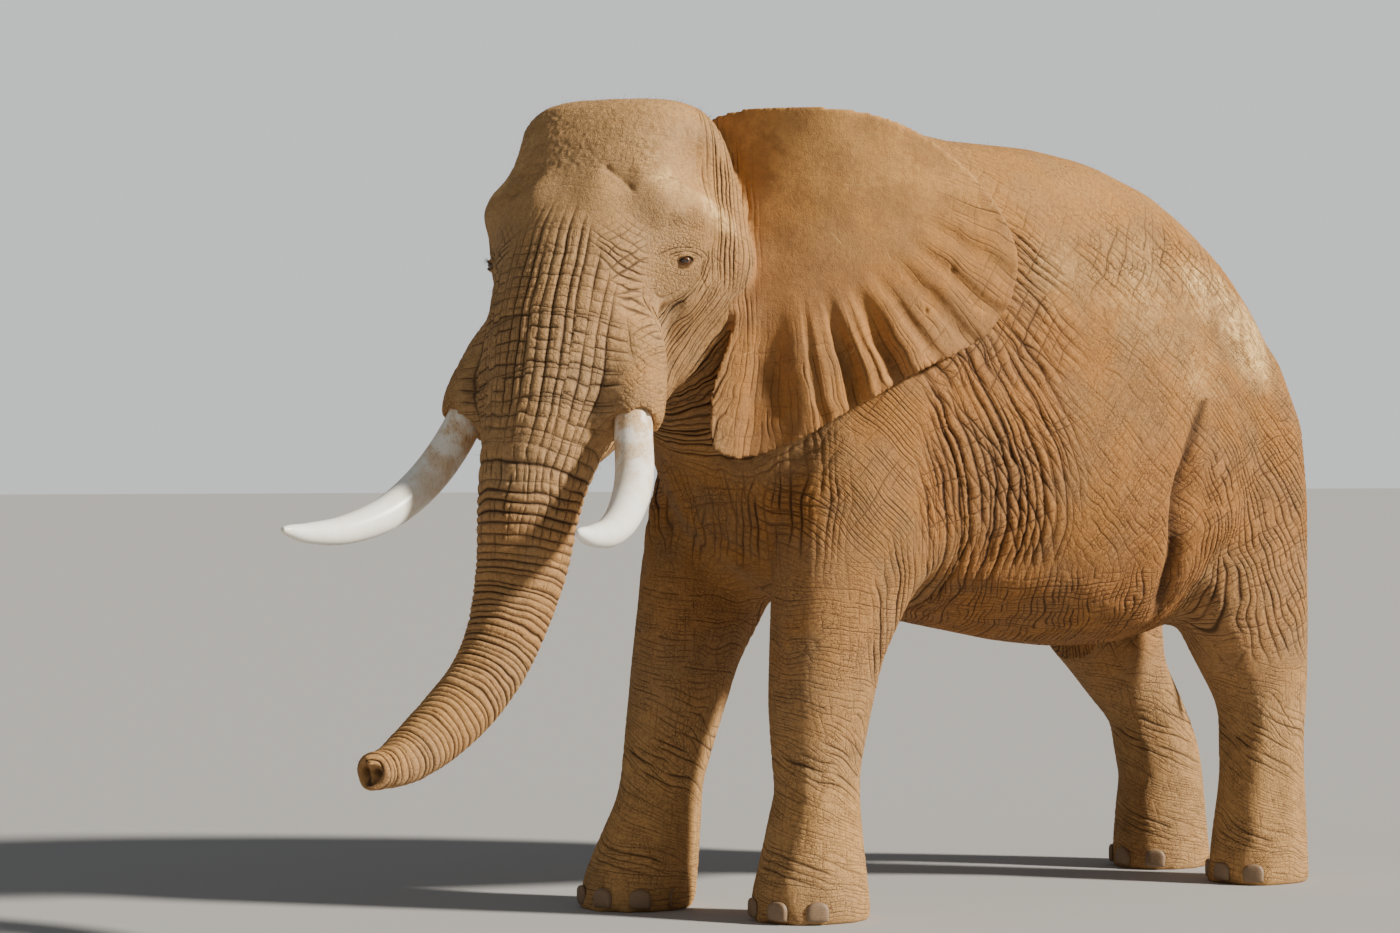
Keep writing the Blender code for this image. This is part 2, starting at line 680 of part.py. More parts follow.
def part_flesh(body):
    """All the parting cuts of the body, outer pieces first."""
    pieces = []
    down = Vector((0.0, 0.0, -1.0))
    for word, sign in (("left", 1.0), ("right", -1.0)):
        step = 0.0 if sign > 0 else RIGHT_FORE_STEP
        foot_y, leg_y, half_y, top = FORE_BLOCK
        block = leg_region(sign, foot_y + step, leg_y + 0.3 * step, half_y, top)
        leg = part_off(body, "foreleg_" + word, block)
        x, y, z = FORE_ANKLE
        ankle = Vector((sign * x, y + 0.8 * step, z))
        pieces.append(part_off(leg, "forefoot_" + word, beyond(ankle, down, *FOOT_CUT)))
        pieces.append(leg)
        leg = part_off(body, "hindleg_" + word, leg_region(sign, *HIND_BLOCK))
        x, y, z = HIND_ANKLE
        ankle = Vector((sign * x, y, z))
        pieces.append(part_off(leg, "hindfoot_" + word, beyond(ankle, down, *FOOT_CUT)))
        pieces.append(leg)
    pieces.append(part_off(body, "tail", beyond(Vector(TAIL_CUT), down, *TAIL_CUT_SIZE)))
    jaw = [(in_head(0.0, ahead, z), half + JAW_MARGIN, deep + JAW_MARGIN)
           for ahead, z, half, deep in JAW[1:]]
    jaw.append((jaw[-1][0] * 2.0 - jaw[-2][0], 0.05, 0.05))
    pieces.append(part_off(body, "lower_jaw", tube("region", jaw, 12)))
    rest = body
    for name, station, radius in TRUNK_CUTS:
        place, before, after = (in_head(TRUNK[k][1], TRUNK[k][0], TRUNK[k][2])
                                for k in (station, station - 1, station + 1))
        rest = part_off(rest, name, beyond(place, after - before, radius, TRUNK_CUT_LONG))
        pieces.append(rest)
    nape = in_head(*NAPE)
    toward_head = in_head(*HEAD_MIDDLE) - Vector(NECK_MIDDLE)
    pieces.append(part_off(body, "head", beyond(nape, toward_head, *HEAD_CUT)))
    pieces.append(part_off(body, "neck", beyond(Vector(NECK_BACK), Vector(NECK_WAY), *NECK_CUT)))
    pieces.append(body)
    body.name = "torso"
    return pieces


# ---------------------------------------------------------------- the whole animal
def clear_scene():
    for piece in list(bpy.data.objects):
        bpy.data.objects.remove(piece)


def coarsened(flesh):
    """Fewer, larger triangles; the head, trunk and tail keep more of them."""
    coarse = flesh.vertex_groups.new(name="coarse")
    for vertex in flesh.data.vertices:
        in_front = (vertex.co - HEAD_AT).dot(HEAD_FORWARD) > HEAD_BACK and vertex.co.z > LOWEST_OF_HEAD
        on_tail = vertex.co.y > TAIL[1][1] and abs(vertex.co.x) < TAIL[0][3]
        coarse.add([vertex.index], HEAD_COARSENESS if in_front or on_tail else 1.0, "REPLACE")
    triangles = 2 * len(flesh.data.polygons)
    apply_modifier(flesh, "DECIMATE", ratio=FLESH_TRIANGLES / triangles, vertex_group="coarse")
    flesh.vertex_groups.clear()


def flat_soles(flesh):
    """Takes off everything under the floor."""
    builder = bmesh.new()
    bmesh.ops.create_cube(builder, size=1.0, matrix=Matrix.Translation((0.0, 0.0, -0.5))
                          @ Matrix.Diagonal((4.0, 6.0, 1.0, 1.0)))
    subtract(flesh, new_object("floor", builder))


def all_nails(tree):
    made = []
    for word, sign in (("left", 1.0), ("right", -1.0)):
        fore = Vector((sign * FORELEG[-1][1], FORELEG[-1][2], 0.0))
        hind = Vector((sign * HINDLEG[-1][1], HINDLEG[-1][2], 0.0))
        if sign < 0:
            fore.y += RIGHT_FORE_STEP
            hind.y += RIGHT_HIND_STEP
        made += nails("nail_fore_" + word, fore, NAILS_FORE, NAIL_SPREAD_FORE, tree)
        made += nails("nail_hind_" + word, hind, NAILS_HIND, NAIL_SPREAD_HIND, tree)
    return made


def stand_at_origin(pieces):
    """Moves the animal so that the middle of its floor plan is over the origin."""
    points = [vertex.co for piece in pieces for vertex in piece.data.vertices]
    for axis in (0, 1):
        low = min(point[axis] for point in points)
        high = max(point[axis] for point in points)
        for piece in pieces:
            piece.location[axis] = -(low + high) / 2.0


def build():
    clear_scene()
    flesh = fused_flesh()
    coarsened(flesh)
    flat_soles(flesh)
    builder = bmesh.new()
    builder.from_mesh(flesh.data)
    tree = BVHTree.FromBMesh(builder)
    builder.free()

    ears = [ear("ear_left", 1.0), ear("ear_right", -1.0)]
    for sheet in ears:
        subtract(sheet, grown(flesh, "pocket", EAR_GAP))
        keep_largest(sheet)
    ivory = [tusk("tusk_left", 1.0), tusk("tusk_right", -1.0)]
    eyes = [eye("eye_left", 1.0, tree), eye("eye_right", -1.0, tree)]
    horn = all_nails(tree)
    for piece in ivory + eyes + horn:
        subtract(flesh, grown(piece, "pocket", GAP))
    hair = [tail_tuft()]
    body = part_flesh(flesh)
    for piece in body:
        flatten(piece)
        keep_largest(piece)
    for pieces, finish in ((body, HIDE), (ears, EAR_HIDE), (ivory, IVORY), (horn, HORN),
                           (eyes, EYE), (hair, HAIR)):
        for piece in pieces:
            paint(piece, finish)
    stand_at_origin(body + ears + ivory + horn + eyes + hair)


build()
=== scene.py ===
# %% [markdown]
# # A standing elephant bull, life size
#
# This lesson dresses a museum model of an African bush elephant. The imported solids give
# the outline, the pose and every main form. The lesson adds what a block of flesh lacks:
# one wrinkled hide, living eyes, worn ivory, horn nails and stiff hair.
#
# The solids are loaded first and stay as they are. Every length below is in metres, with
# the floor at height nought.

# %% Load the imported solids
import bpy
import bmesh
import json
import math
import numpy as np
from mathutils import Matrix, Vector

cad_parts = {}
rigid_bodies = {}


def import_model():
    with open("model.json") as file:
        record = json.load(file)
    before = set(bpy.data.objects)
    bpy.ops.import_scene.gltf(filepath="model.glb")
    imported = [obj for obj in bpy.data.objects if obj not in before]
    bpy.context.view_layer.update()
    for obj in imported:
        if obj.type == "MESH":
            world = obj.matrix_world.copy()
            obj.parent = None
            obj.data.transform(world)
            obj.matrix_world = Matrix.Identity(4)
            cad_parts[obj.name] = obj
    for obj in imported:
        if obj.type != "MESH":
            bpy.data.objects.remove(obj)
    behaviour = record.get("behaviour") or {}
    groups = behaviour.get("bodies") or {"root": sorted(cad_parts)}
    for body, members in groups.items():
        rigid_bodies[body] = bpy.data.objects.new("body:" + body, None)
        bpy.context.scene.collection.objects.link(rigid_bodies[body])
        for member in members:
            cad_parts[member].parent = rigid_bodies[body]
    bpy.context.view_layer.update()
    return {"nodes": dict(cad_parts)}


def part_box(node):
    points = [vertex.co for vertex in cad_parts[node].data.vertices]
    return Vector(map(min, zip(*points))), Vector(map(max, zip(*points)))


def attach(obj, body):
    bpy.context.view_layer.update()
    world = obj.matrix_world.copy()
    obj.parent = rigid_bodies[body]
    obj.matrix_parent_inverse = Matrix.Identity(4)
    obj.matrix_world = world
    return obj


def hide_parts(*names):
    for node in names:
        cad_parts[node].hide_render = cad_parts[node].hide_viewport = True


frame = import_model()
UP = Vector((0.0, 0.0, 1.0))

# %% [markdown]
# ## The view, the floor and the light
#
# The animal is seen from its left, well in front of the shoulder and from eye height. A
# long lens from far away keeps the near tusk from growing too big. The camera stands on a
# circle round a point under the throat, so its place is two angles and a distance.

# %% Write helpers that place and aim things
def object_from(name, data):
    """An object that carries a mesh, a camera or a lamp, placed in the scene."""
    made = bpy.data.objects.new(name, data)
    bpy.context.scene.collection.objects.link(made)
    return made


def aim(thing, middle, outward, distance):
    """Moves a camera or a lamp outward from a middle and turns it to look back."""
    thing.location = middle + outward * distance
    thing.rotation_mode = "QUATERNION"
    thing.rotation_quaternion = (-outward).to_track_quat("-Z", "Y")


print("placing helpers ready")

# %% Set the camera
VIEW_POINT = Vector((-0.889, -0.039, 1.73))
VIEW_AZIMUTH = math.radians(56.0)
VIEW_DISTANCE = 15.0
LENS = 94.5

towards_viewer = Vector((math.sin(VIEW_AZIMUTH), -math.cos(VIEW_AZIMUTH), 0.0))
camera_data = bpy.data.cameras.new("viewer")
camera_data.lens = LENS
camera_data.clip_end = 500.0
camera = object_from("viewer", camera_data)
aim(camera, VIEW_POINT, towards_viewer, VIEW_DISTANCE)
bpy.context.scene.camera = camera
print("camera at", [round(value, 3) for value in camera.location])

# %% [markdown]
# Hide is read by its shadows, so the main lamp stands high on the animal's left, a little
# behind its shoulder, and rakes over the folds. It is a far lamp with a broad face, which
# lights the whole floor evenly and keeps the shadow edges soft. A second, weaker one on the
# viewer's other side and a pale sky fill the dark side.

# %% Place the floor, the sky and two lamps
FLOOR_SIZE = 400.0
LAMP_DISTANCE = 20.0


def flat_finish(name, colour, roughness):
    """A plain material for the floor."""
    finish = bpy.data.materials.new(name)
    finish.use_nodes = True
    shader = finish.node_tree.nodes["Principled BSDF"]
    shader.inputs["Base Color"].default_value = (*colour, 1.0)
    shader.inputs["Roughness"].default_value = roughness
    return finish


def far_lamp(name, azimuth, elevation, softness, power, colour):
    """A lamp as far as the sun, seen under the given angle of softness."""
    turn, rise = math.radians(azimuth), math.radians(elevation)
    outward = Vector((math.sin(turn) * math.cos(rise), -math.cos(turn) * math.cos(rise),
                      math.sin(rise)))
    data = bpy.data.lights.new(name, "SUN")
    data.angle = math.radians(softness)
    data.energy = power
    data.color = colour
    aim(object_from(name, data), Vector((0.0, 0.0, 0.0)), outward, LAMP_DISTANCE)


floor_mesh = bpy.data.meshes.new("floor")
half = FLOOR_SIZE / 2.0
floor_mesh.from_pydata([(-half, -half, 0.0), (half, -half, 0.0), (half, half, 0.0),
                        (-half, half, 0.0)], [], [(0, 1, 2, 3)])
floor_mesh.materials.append(flat_finish("pale floor", (0.40, 0.39, 0.375), 0.9))
floor = object_from("floor", floor_mesh)

far_lamp("key", 128.0, 30.0, 5.0, 8.1, (1.0, 0.95, 0.86))
far_lamp("fill", 5.0, 25.0, 30.0, 0.12, (0.90, 0.95, 1.0))
print("floor laid,", FLOOR_SIZE, "m wide")

# %% Make the sky
SKY_LIGHT = ((0.86, 0.90, 0.95), 0.22)
SKY_SEEN = ((0.80, 0.81, 0.82), 0.95)

sky = bpy.data.worlds.new("sky")
sky.use_nodes = True
sky_nodes, sky_links = sky.node_tree.nodes, sky.node_tree.links
sky_blend = sky_nodes.new("ShaderNodeMixShader")
light_path = sky_nodes.new("ShaderNodeLightPath")
sky_links.new(light_path.outputs["Is Camera Ray"], sky_blend.inputs["Fac"])
for socket, (colour, strength) in zip(sky_blend.inputs[1:], (SKY_LIGHT, SKY_SEEN)):
    glow_node = sky_nodes.new("ShaderNodeBackground")
    glow_node.inputs["Color"].default_value = (*colour, 1.0)
    glow_node.inputs["Strength"].default_value = strength
    sky_links.new(glow_node.outputs[0], socket)
sky_links.new(sky_blend.outputs[0], sky_nodes["World Output"].inputs["Surface"])
bpy.context.scene.world = sky

# %% [markdown]
# ## The head's own directions
#
# The head is turned to the animal's left, so its forms are easier to place in directions
# of its own: to the side, ahead and up. Two landmarks fix them. The line through both eyes
# points to the side, and ahead is square to it.

# %% Find the head's directions from the eyes
def middle_of(node):
    """The middle of a solid's box."""
    low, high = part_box(node)
    return (Vector(low) + Vector(high)) / 2.0


EYE_AHEAD = 0.235

left_eye = middle_of("eye_left")
right_eye = middle_of("eye_right")
HEAD_SIDE = left_eye - right_eye
HEAD_SIDE.z = 0.0
HEAD_SIDE.normalize()
HEAD_FORWARD = HEAD_SIDE.cross(UP)
HEAD_AT = (left_eye + right_eye) / 2.0 - HEAD_FORWARD * EYE_AHEAD
HEAD_AT.z = 0.0


def in_head(side, ahead, height):
    """A place given in the head's own directions."""
    return HEAD_AT + HEAD_SIDE * side + HEAD_FORWARD * ahead + UP * height


print("head turned by", round(math.degrees(math.atan2(HEAD_SIDE.y, HEAD_SIDE.x)), 1), "degrees")

# %% [markdown]
# ## One skin over the flesh
#
# The flesh comes in nodes that touch but don't join. A hide has no such joints. Each node
# is swollen by a hair's breadth so that neighbours overlap, and a voxel remesh then melts
# them into one closed surface. The first remesh is coarse on purpose: smoothing a coarse
# net takes off the flat facets in few steps and keeps the volume if each step inwards is
# followed by a slightly longer step outwards.

# %% Melt the flesh into one coarse skin
FLESH = ("torso", "neck", "head", "lower_jaw", "trunk_upper", "trunk_middle", "trunk_lower",
         "foreleg_left", "foreleg_right", "forefoot_left", "forefoot_right",
         "hindleg_left", "hindleg_right", "hindfoot_left", "hindfoot_right", "tail")
EARS = ("ear_left", "ear_right")
OVERLAP = 0.0015
COARSE_STEP = 0.032
COARSE_ROUNDS = 24


def mesh_from(name, builder):
    """The builder's faces as a mesh."""
    mesh = bpy.data.meshes.new(name)
    builder.to_mesh(mesh)
    builder.free()
    return mesh


def swollen(nodes, amount):
    """One mesh with a slightly swollen copy of each node."""
    builder = bmesh.new()
    for node in nodes:
        part = bmesh.new()
        part.from_mesh(frame["nodes"][node].data)
        bmesh.ops.remove_doubles(part, verts=part.verts, dist=1e-4)
        part.normal_update()
        for vertex in part.verts:
            vertex.co += vertex.normal * amount
        mesh = mesh_from(node + "_copy", part)
        builder.from_mesh(mesh)
        bpy.data.meshes.remove(mesh)
    return mesh_from("flesh", builder)


def melted(mesh, step):
    """The mesh after a voxel remesh, as points and four-sided faces."""
    carrier = object_from("carrier", mesh)
    change = carrier.modifiers.new("melt", "REMESH")
    change.mode = "VOXEL"
    change.voxel_size = step
    graph = bpy.context.evaluated_depsgraph_get()
    result = carrier.evaluated_get(graph).to_mesh()
    points = np.empty(len(result.vertices) * 3, np.float32)
    result.vertices.foreach_get("co", points)
    faces = np.empty(len(result.loops), np.int32)
    result.loops.foreach_get("vertex_index", faces)
    bpy.data.objects.remove(carrier)
    return points.reshape(-1, 3).astype(np.float64), faces.reshape(-1, 4)


print("melting tool ready")

# %% Write the smoothing tool
def edges_of(faces):
    """Each edge once, for faces with any fixed number of corners."""
    pairs = np.stack([faces, np.roll(faces, -1, axis=1)], axis=2).reshape(-1, 2)
    pairs = np.sort(pairs, axis=1).astype(np.int64)
    keys = np.unique(pairs[:, 0] * (faces.max() + 1) + pairs[:, 1])
    return np.stack([keys // (faces.max() + 1), keys % (faces.max() + 1)], axis=1)


def spread(values, edges, count):
    """The mean of each point's neighbours."""
    total = np.empty_like(values)
    both = np.concatenate([edges[:, 0], edges[:, 1]])
    other = np.concatenate([edges[:, 1], edges[:, 0]])
    degree = np.bincount(both, minlength=count)
    for column in range(values.shape[1]):
        total[:, column] = np.bincount(both, weights=values[other, column], minlength=count)
    return total / degree[:, None]


def smoothed(points, faces, rounds, inward=0.5, outward=-0.52, hold=None):
    """Smoothing that keeps the volume; hold is 1 where a point stays."""
    edges = edges_of(faces)
    free = 1.0 if hold is None else (1.0 - hold)[:, None]
    for _ in range(rounds):
        points = points + free * inward * (spread(points, edges, len(points)) - points)
        points = points + free * outward * (spread(points, edges, len(points)) - points)
    return points


print("smoothing tool ready")

# %% Melt and smooth the coarse skin
coarse_points, coarse_faces = melted(swollen(FLESH, OVERLAP), COARSE_STEP)
coarse_points = smoothed(coarse_points, coarse_faces, COARSE_ROUNDS)
print("coarse skin:", len(coarse_points), "points")

# %% [markdown]
# ## The ears
#
# An ear is a sheet of hide over thin cartilage, thick at the root and as thin as a finger
# at the rim. It is built from its rim line, shrunk ring by ring towards its middle, once
# for the outer side and once for the inner side. The sheet bellies out, its front edge
# turns in towards the neck, and its lower part hangs in pleats.

# %% Draw the rim of the ear
EAR_RIM_LINE = [
    (-0.09, 3.03), (0.22, 3.08), (0.55, 3.035), (0.83, 2.88), (1.03, 2.66),
    (1.07, 2.44), (0.93, 2.22), (0.64, 2.09), (0.38, 1.93), (0.08, 1.775),
    (-0.11, 1.79), (-0.125, 2.00), (-0.04, 2.30), (-0.07, 2.66),
]
EAR_MIDDLE = (0.40, 2.50)
EAR_LENGTH = 1.08
EAR_THICK = 0.034
EAR_EDGE = 0.015
EAR_RINGS = 26
EAR_POINTS = 160
EAR_ROOTS = {"left": ((0.2315, -0.597), 21.0), "right": ((-0.5635, -0.952), 29.0)}


def curve_between(a, b, c, d, part):
    """The smooth line from b to c; a and d are the corners before and after."""
    return 0.5 * (2 * b + (c - a) * part + (2 * a - 5 * b + 4 * c - d) * part**2
                  + (3 * b - a - 3 * c + d) * part**3)


def closed_curve(corners, count):
    """A smooth closed line through the corners, at evenly shared steps."""
    corners = np.array(corners)
    along = np.linspace(0.0, len(corners), count, endpoint=False)
    start = np.floor(along).astype(int)
    part = (along - start)[:, None]
    return curve_between(*(corners[(start + shift) % len(corners)] for shift in (-1, 0, 1, 2)),
                         part)


print("ear rim has", len(EAR_RIM_LINE), "corners")

# %% Write soft steps and bells
def step_up(value, low, high):
    """Rises smoothly from 0 at low to 1 at high."""
    part = np.clip((value - low) / (high - low), 0.0, 1.0)
    return part * part * (3.0 - 2.0 * part)


def step_down(value, low, high):
    """Falls smoothly from 1 at low to 0 at high."""
    return 1.0 - step_up(value, low, high)


def bell(value, middle, width):
    """1 at the middle, fading to both sides."""
    return np.exp(-((value - middle) / width)**2)


print("soft steps ready")

# %% Build both ears as sheets
def ear_lift(behind, height):
    """How far the middle of the ear's sheet stands out from its flat pattern."""
    belly = 0.07 * np.sin(np.pi * np.clip(behind / EAR_LENGTH, 0.0, 1.0))
    turned_in = np.clip(1.0 - behind / 0.40, 0.0, None)**2 * np.clip((height - 2.3) / 0.6, 0, 1)
    return belly - 0.14 * turned_in


def ear_directions(side):
    """The ear's root and its backward and outward directions."""
    root, flare = EAR_ROOTS[side]
    sign = 1.0 if side == "left" else -1.0
    turn = math.radians(flare)
    back = np.array((sign * math.sin(turn), math.cos(turn), 0.0))
    out = np.array((sign * math.cos(turn), -math.sin(turn), 0.0))
    return np.array((*root, 0.0)), back, out


def ear_sheet(side):
    """The ear as a closed mesh, outer side and inner side sewn at the rim."""
    root, back, out = ear_directions(side)
    rim = closed_curve(EAR_RIM_LINE, EAR_POINTS)
    middle = np.array(EAR_MIDDLE)
    points = []
    for face in (1.0, -1.0):
        for ring in range(1, EAR_RINGS + 1):
            part = ring / EAR_RINGS
            flat = middle + (rim - middle) * part
            thick = EAR_EDGE + (EAR_THICK - EAR_EDGE) * (1.0 - part)
            lift = ear_lift(flat[:, 0], flat[:, 1]) + face * thick / 2.0
            place = root + back * flat[:, :1] + out * lift[:, None]
            place[:, 2] = flat[:, 1]
            points.append(place)
    centres = []
    for face in (1.0, -1.0):
        place = root + back * middle[0] + out * (ear_lift(*middle) + face * EAR_THICK / 2.0)
        place[2] = middle[1]
        centres.append(place)
    points = np.concatenate([*points, np.array(centres)])
    faces = []
    for face in range(2):
        base = face * EAR_RINGS * EAR_POINTS
        hub = 2 * EAR_RINGS * EAR_POINTS + face
        for i in range(EAR_POINTS):
            j = (i + 1) % EAR_POINTS
            faces.append((hub, base + i, base + j))
            for ring in range(EAR_RINGS - 1):
                low, high = base + ring * EAR_POINTS, base + (ring + 1) * EAR_POINTS
                faces.append((low + i, high + i, high + j, low + j))
    outer = (EAR_RINGS - 1) * EAR_POINTS
    inner = outer + EAR_RINGS * EAR_POINTS
    for i in range(EAR_POINTS):
        j = (i + 1) % EAR_POINTS
        faces.append((outer + i, inner + i, inner + j, outer + j))
    mesh = bpy.data.meshes.new("ear_" + side)
    mesh.from_pydata(points.tolist(), [], faces)
    builder = bmesh.new()
    builder.from_mesh(mesh)
    bmesh.ops.recalc_face_normals(builder, faces=builder.faces)
    builder.to_mesh(mesh)
    builder.free()
    return mesh


ear_meshes = [ear_sheet("left"), ear_sheet("right")]
print("ear sheets:", [len(mesh.polygons) for mesh in ear_meshes], "faces")

# %% [markdown]
# ## Sewing the ears and the tail on
#
# The ears reach a little way into the neck, so one more remesh, three times finer, joins
# them to the coarse skin. The coarse net has pinched the thin tail, so the tail is added
# once more here, with the flat end inside the brush that its hairs grow from. A few rounds
# of smoothing round the creases where the parts meet.

# %% Make the tail's end
TAIL_END = [
    # drop below the top of the brush, half width, half depth
    (-0.030, 0.023, 0.025), (0.060, 0.017, 0.026), (0.140, 0.014, 0.023), (0.200, 0.007, 0.011),
]
TAIL_END_CORNERS = 14


def tail_end():
    """The flat end of the tail as a closed mesh."""
    low, high = (Vector(corner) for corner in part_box("tail_tuft"))
    middle = (low + high) / 2.0
    count, places = TAIL_END_CORNERS, []
    for drop, half_width, half_depth in TAIL_END:
        for corner in range(count):
            turn = math.tau * corner / count
            places.append((middle.x + half_width * math.cos(turn),
                           middle.y + half_depth * math.sin(turn), high.z - drop))
    faces = [tuple(range(count)), tuple(reversed(range(len(places) - count, len(places))))]
    for ring in range(len(TAIL_END) - 1):
        base = ring * count
        for i in range(count):
            j = (i + 1) % count
            faces.append((base + j, base + i, base + count + i, base + count + j))
    mesh = bpy.data.meshes.new("tail_end")
    mesh.from_pydata(places, [], faces)
    return mesh


tail_meshes = [swollen(("tail",), 0.0), tail_end()]
print("tail:", [len(mesh.polygons) for mesh in tail_meshes], "faces")

# %% Join the ears and the tail and remesh finely
FINE_STEP = 0.0108
FINE_ROUNDS = 5


def joined_mesh(points, faces, others):
    """One mesh with the coarse skin and the other meshes, not yet melted together."""
    builder = bmesh.new()
    mesh = bpy.data.meshes.new("coarse_skin")
    mesh.from_pydata(points.tolist(), [], faces.tolist())
    builder.from_mesh(mesh)
    for other in others:
        builder.from_mesh(other)
    return mesh_from("skin_with_ears", builder)


skin_points, skin_faces = melted(joined_mesh(coarse_points, coarse_faces,
                                             ear_meshes + tail_meshes), FINE_STEP)
skin_points = smoothed(skin_points, skin_faces, FINE_ROUNDS)
print("fine skin:", len(skin_points), "points,", len(skin_faces), "faces")

# %% [markdown]
# ## A flat pattern for the hide
#
# Colours that are worked out once for the whole hide need a flat pattern, as a tailor's
# cloth does. It is laid out now, while the skin is still smooth, so that the patches are
# few and large. The finer faces made later inherit it.

# %% Unwrap the skin
UNWRAP_ANGLE = math.radians(62.0)
UNWRAP_GAP = 0.0015


def unwrapped(points, faces):
    """The place of each face corner in the flat pattern."""
    mesh = bpy.data.meshes.new("pattern")
    mesh.from_pydata(points.tolist(), [], faces.tolist())
    carrier = object_from("pattern", mesh)
    bpy.context.view_layer.objects.active = carrier
    carrier.select_set(True)
    bpy.ops.object.mode_set(mode="EDIT")
    bpy.ops.mesh.select_all(action="SELECT")
    bpy.ops.uv.smart_project(angle_limit=UNWRAP_ANGLE, island_margin=UNWRAP_GAP)
    bpy.ops.object.mode_set(mode="OBJECT")
    flat = np.empty(len(mesh.loops) * 2, np.float32)
    mesh.uv_layers.active.data.foreach_get("uv", flat)
    bpy.data.objects.remove(carrier)
    return flat.reshape(len(faces), 4, 2)


pattern = unwrapped(skin_points, skin_faces)
print("pattern laid out for", len(pattern), "faces")

# %% [markdown]
# ## Finer where it counts
#
# The body can do with faces a finger wide, but the head and trunk carry the fine work, and
# the lids of the eyes need the finest. Marked triangles are split in four, and those next
# to them are closed to fit, so no gap opens. New points are set a little outside the old
# faces, by the turn of the normals, so that the round forms stay round.

# %% Split the marked triangles
def normals_of(points, triangles):
    """The outward direction at each point; larger faces count for more."""
    a, b, c = (points[triangles[:, k]] for k in range(3))
    face = np.cross(b - a, c - a)
    total = np.zeros_like(points)
    for column in range(3):
        for corner in range(3):
            total[:, column] += np.bincount(triangles[:, corner], weights=face[:, column],
                                            minlength=len(points))
    return total / np.maximum(np.linalg.norm(total, axis=1), 1e-12)[:, None]


def in_triangles(points, faces, flat):
    """Cuts each four-sided face along its shorter diagonal."""
    a, b, c, d = (points[faces[:, k]] for k in range(4))
    short = (np.linalg.norm(a - c, axis=1) <= np.linalg.norm(b - d, axis=1))[:, None]
    first = np.where(short, [[0, 1, 2]], [[0, 1, 3]])
    second = np.where(short, [[0, 2, 3]], [[1, 2, 3]])
    rows = np.arange(len(faces))[:, None]
    triangles = np.concatenate([faces[rows, first], faces[rows, second]])
    corners = np.concatenate([flat[rows, first], flat[rows, second]])
    return triangles, corners


def split(points, triangles, flat, marked):
    """Splits every edge of the marked triangles at its middle."""
    ends = np.stack([triangles, np.roll(triangles, -1, axis=1)], axis=2)
    low, high = ends.min(axis=2).astype(np.int64), ends.max(axis=2).astype(np.int64)
    keys, place = np.unique((low * len(points) + high).ravel(), return_inverse=True)
    place = place.reshape(-1, 3)
    chosen = np.zeros(len(keys), bool)
    chosen[place[marked].ravel()] = True
    number = np.full(len(keys), -1, np.int64)
    number[chosen] = len(points) + np.arange(chosen.sum())
    first, last = keys[chosen] // len(points), keys[chosen] % len(points)
    normals = normals_of(points, triangles)
    middle = (points[first] + points[last]) / 2.0
    across = points[last] - points[first]
    turn = np.einsum("ij,ij->i", across, normals[last] - normals[first])
    mean = normals[first] + normals[last]
    mean /= np.maximum(np.linalg.norm(mean, axis=1), 1e-12)[:, None]
    middle += mean * (0.125 * turn)[:, None]
    points = np.concatenate([points, middle])
    cut = number[place]
    count = (cut >= 0).sum(axis=1)
    new_triangles, new_flat = [triangles[count == 0]], [flat[count == 0]]

    def turned(rows, shift):
        order = (np.arange(3)[None, :] + shift[:, None]) % 3
        index = np.arange(len(rows))[:, None]
        return triangles[rows][index, order], cut[rows][index, order], flat[rows][index, order]

    def add(corners, places):
        new_triangles.append(np.stack(corners, axis=1))
        new_flat.append(np.stack(places, axis=1))

    rows = np.flatnonzero(count == 1)
    if len(rows):
        v, m, f = turned(rows, np.argmax(cut[rows] >= 0, axis=1))
        half_way = (f[:, 0] + f[:, 1]) / 2.0
        add((v[:, 0], m[:, 0], v[:, 2]), (f[:, 0], half_way, f[:, 2]))
        add((m[:, 0], v[:, 1], v[:, 2]), (half_way, f[:, 1], f[:, 2]))
    rows = np.flatnonzero(count == 2)
    if len(rows):
        v, m, f = turned(rows, (np.argmax(cut[rows] < 0, axis=1) + 1) % 3)
        near, far = (f[:, 0] + f[:, 1]) / 2.0, (f[:, 1] + f[:, 2]) / 2.0
        add((v[:, 0], m[:, 0], v[:, 2]), (f[:, 0], near, f[:, 2]))
        add((m[:, 0], m[:, 1], v[:, 2]), (near, far, f[:, 2]))
        add((m[:, 0], v[:, 1], m[:, 1]), (near, f[:, 1], far))
    rows = np.flatnonzero(count == 3)
    v, m, f = triangles[rows], cut[rows], flat[rows]
    g = (f + np.roll(f, -1, axis=1)) / 2.0
    add((v[:, 0], m[:, 0], m[:, 2]), (f[:, 0], g[:, 0], g[:, 2]))
    add((m[:, 0], v[:, 1], m[:, 1]), (g[:, 0], f[:, 1], g[:, 1]))
    add((m[:, 2], m[:, 1], v[:, 2]), (g[:, 2], g[:, 1], f[:, 2]))
    add((m[:, 0], m[:, 1], m[:, 2]), (g[:, 0], g[:, 1], g[:, 2]))
    return points, np.concatenate(new_triangles), np.concatenate(new_flat)


print("splitting tool ready")

# %% Choose the triangles to split
def head_coordinates(points):
    """Each point as side, ahead and height from under the crown."""
    away = points - np.array(HEAD_AT)
    return np.stack([away @ np.array(HEAD_SIDE), away @ np.array(HEAD_FORWARD),
                     points[:, 2]], axis=1)


def reach_from(points, place):
    """How far each point lies from a place."""
    return np.linalg.norm(points - np.array(place), axis=1)


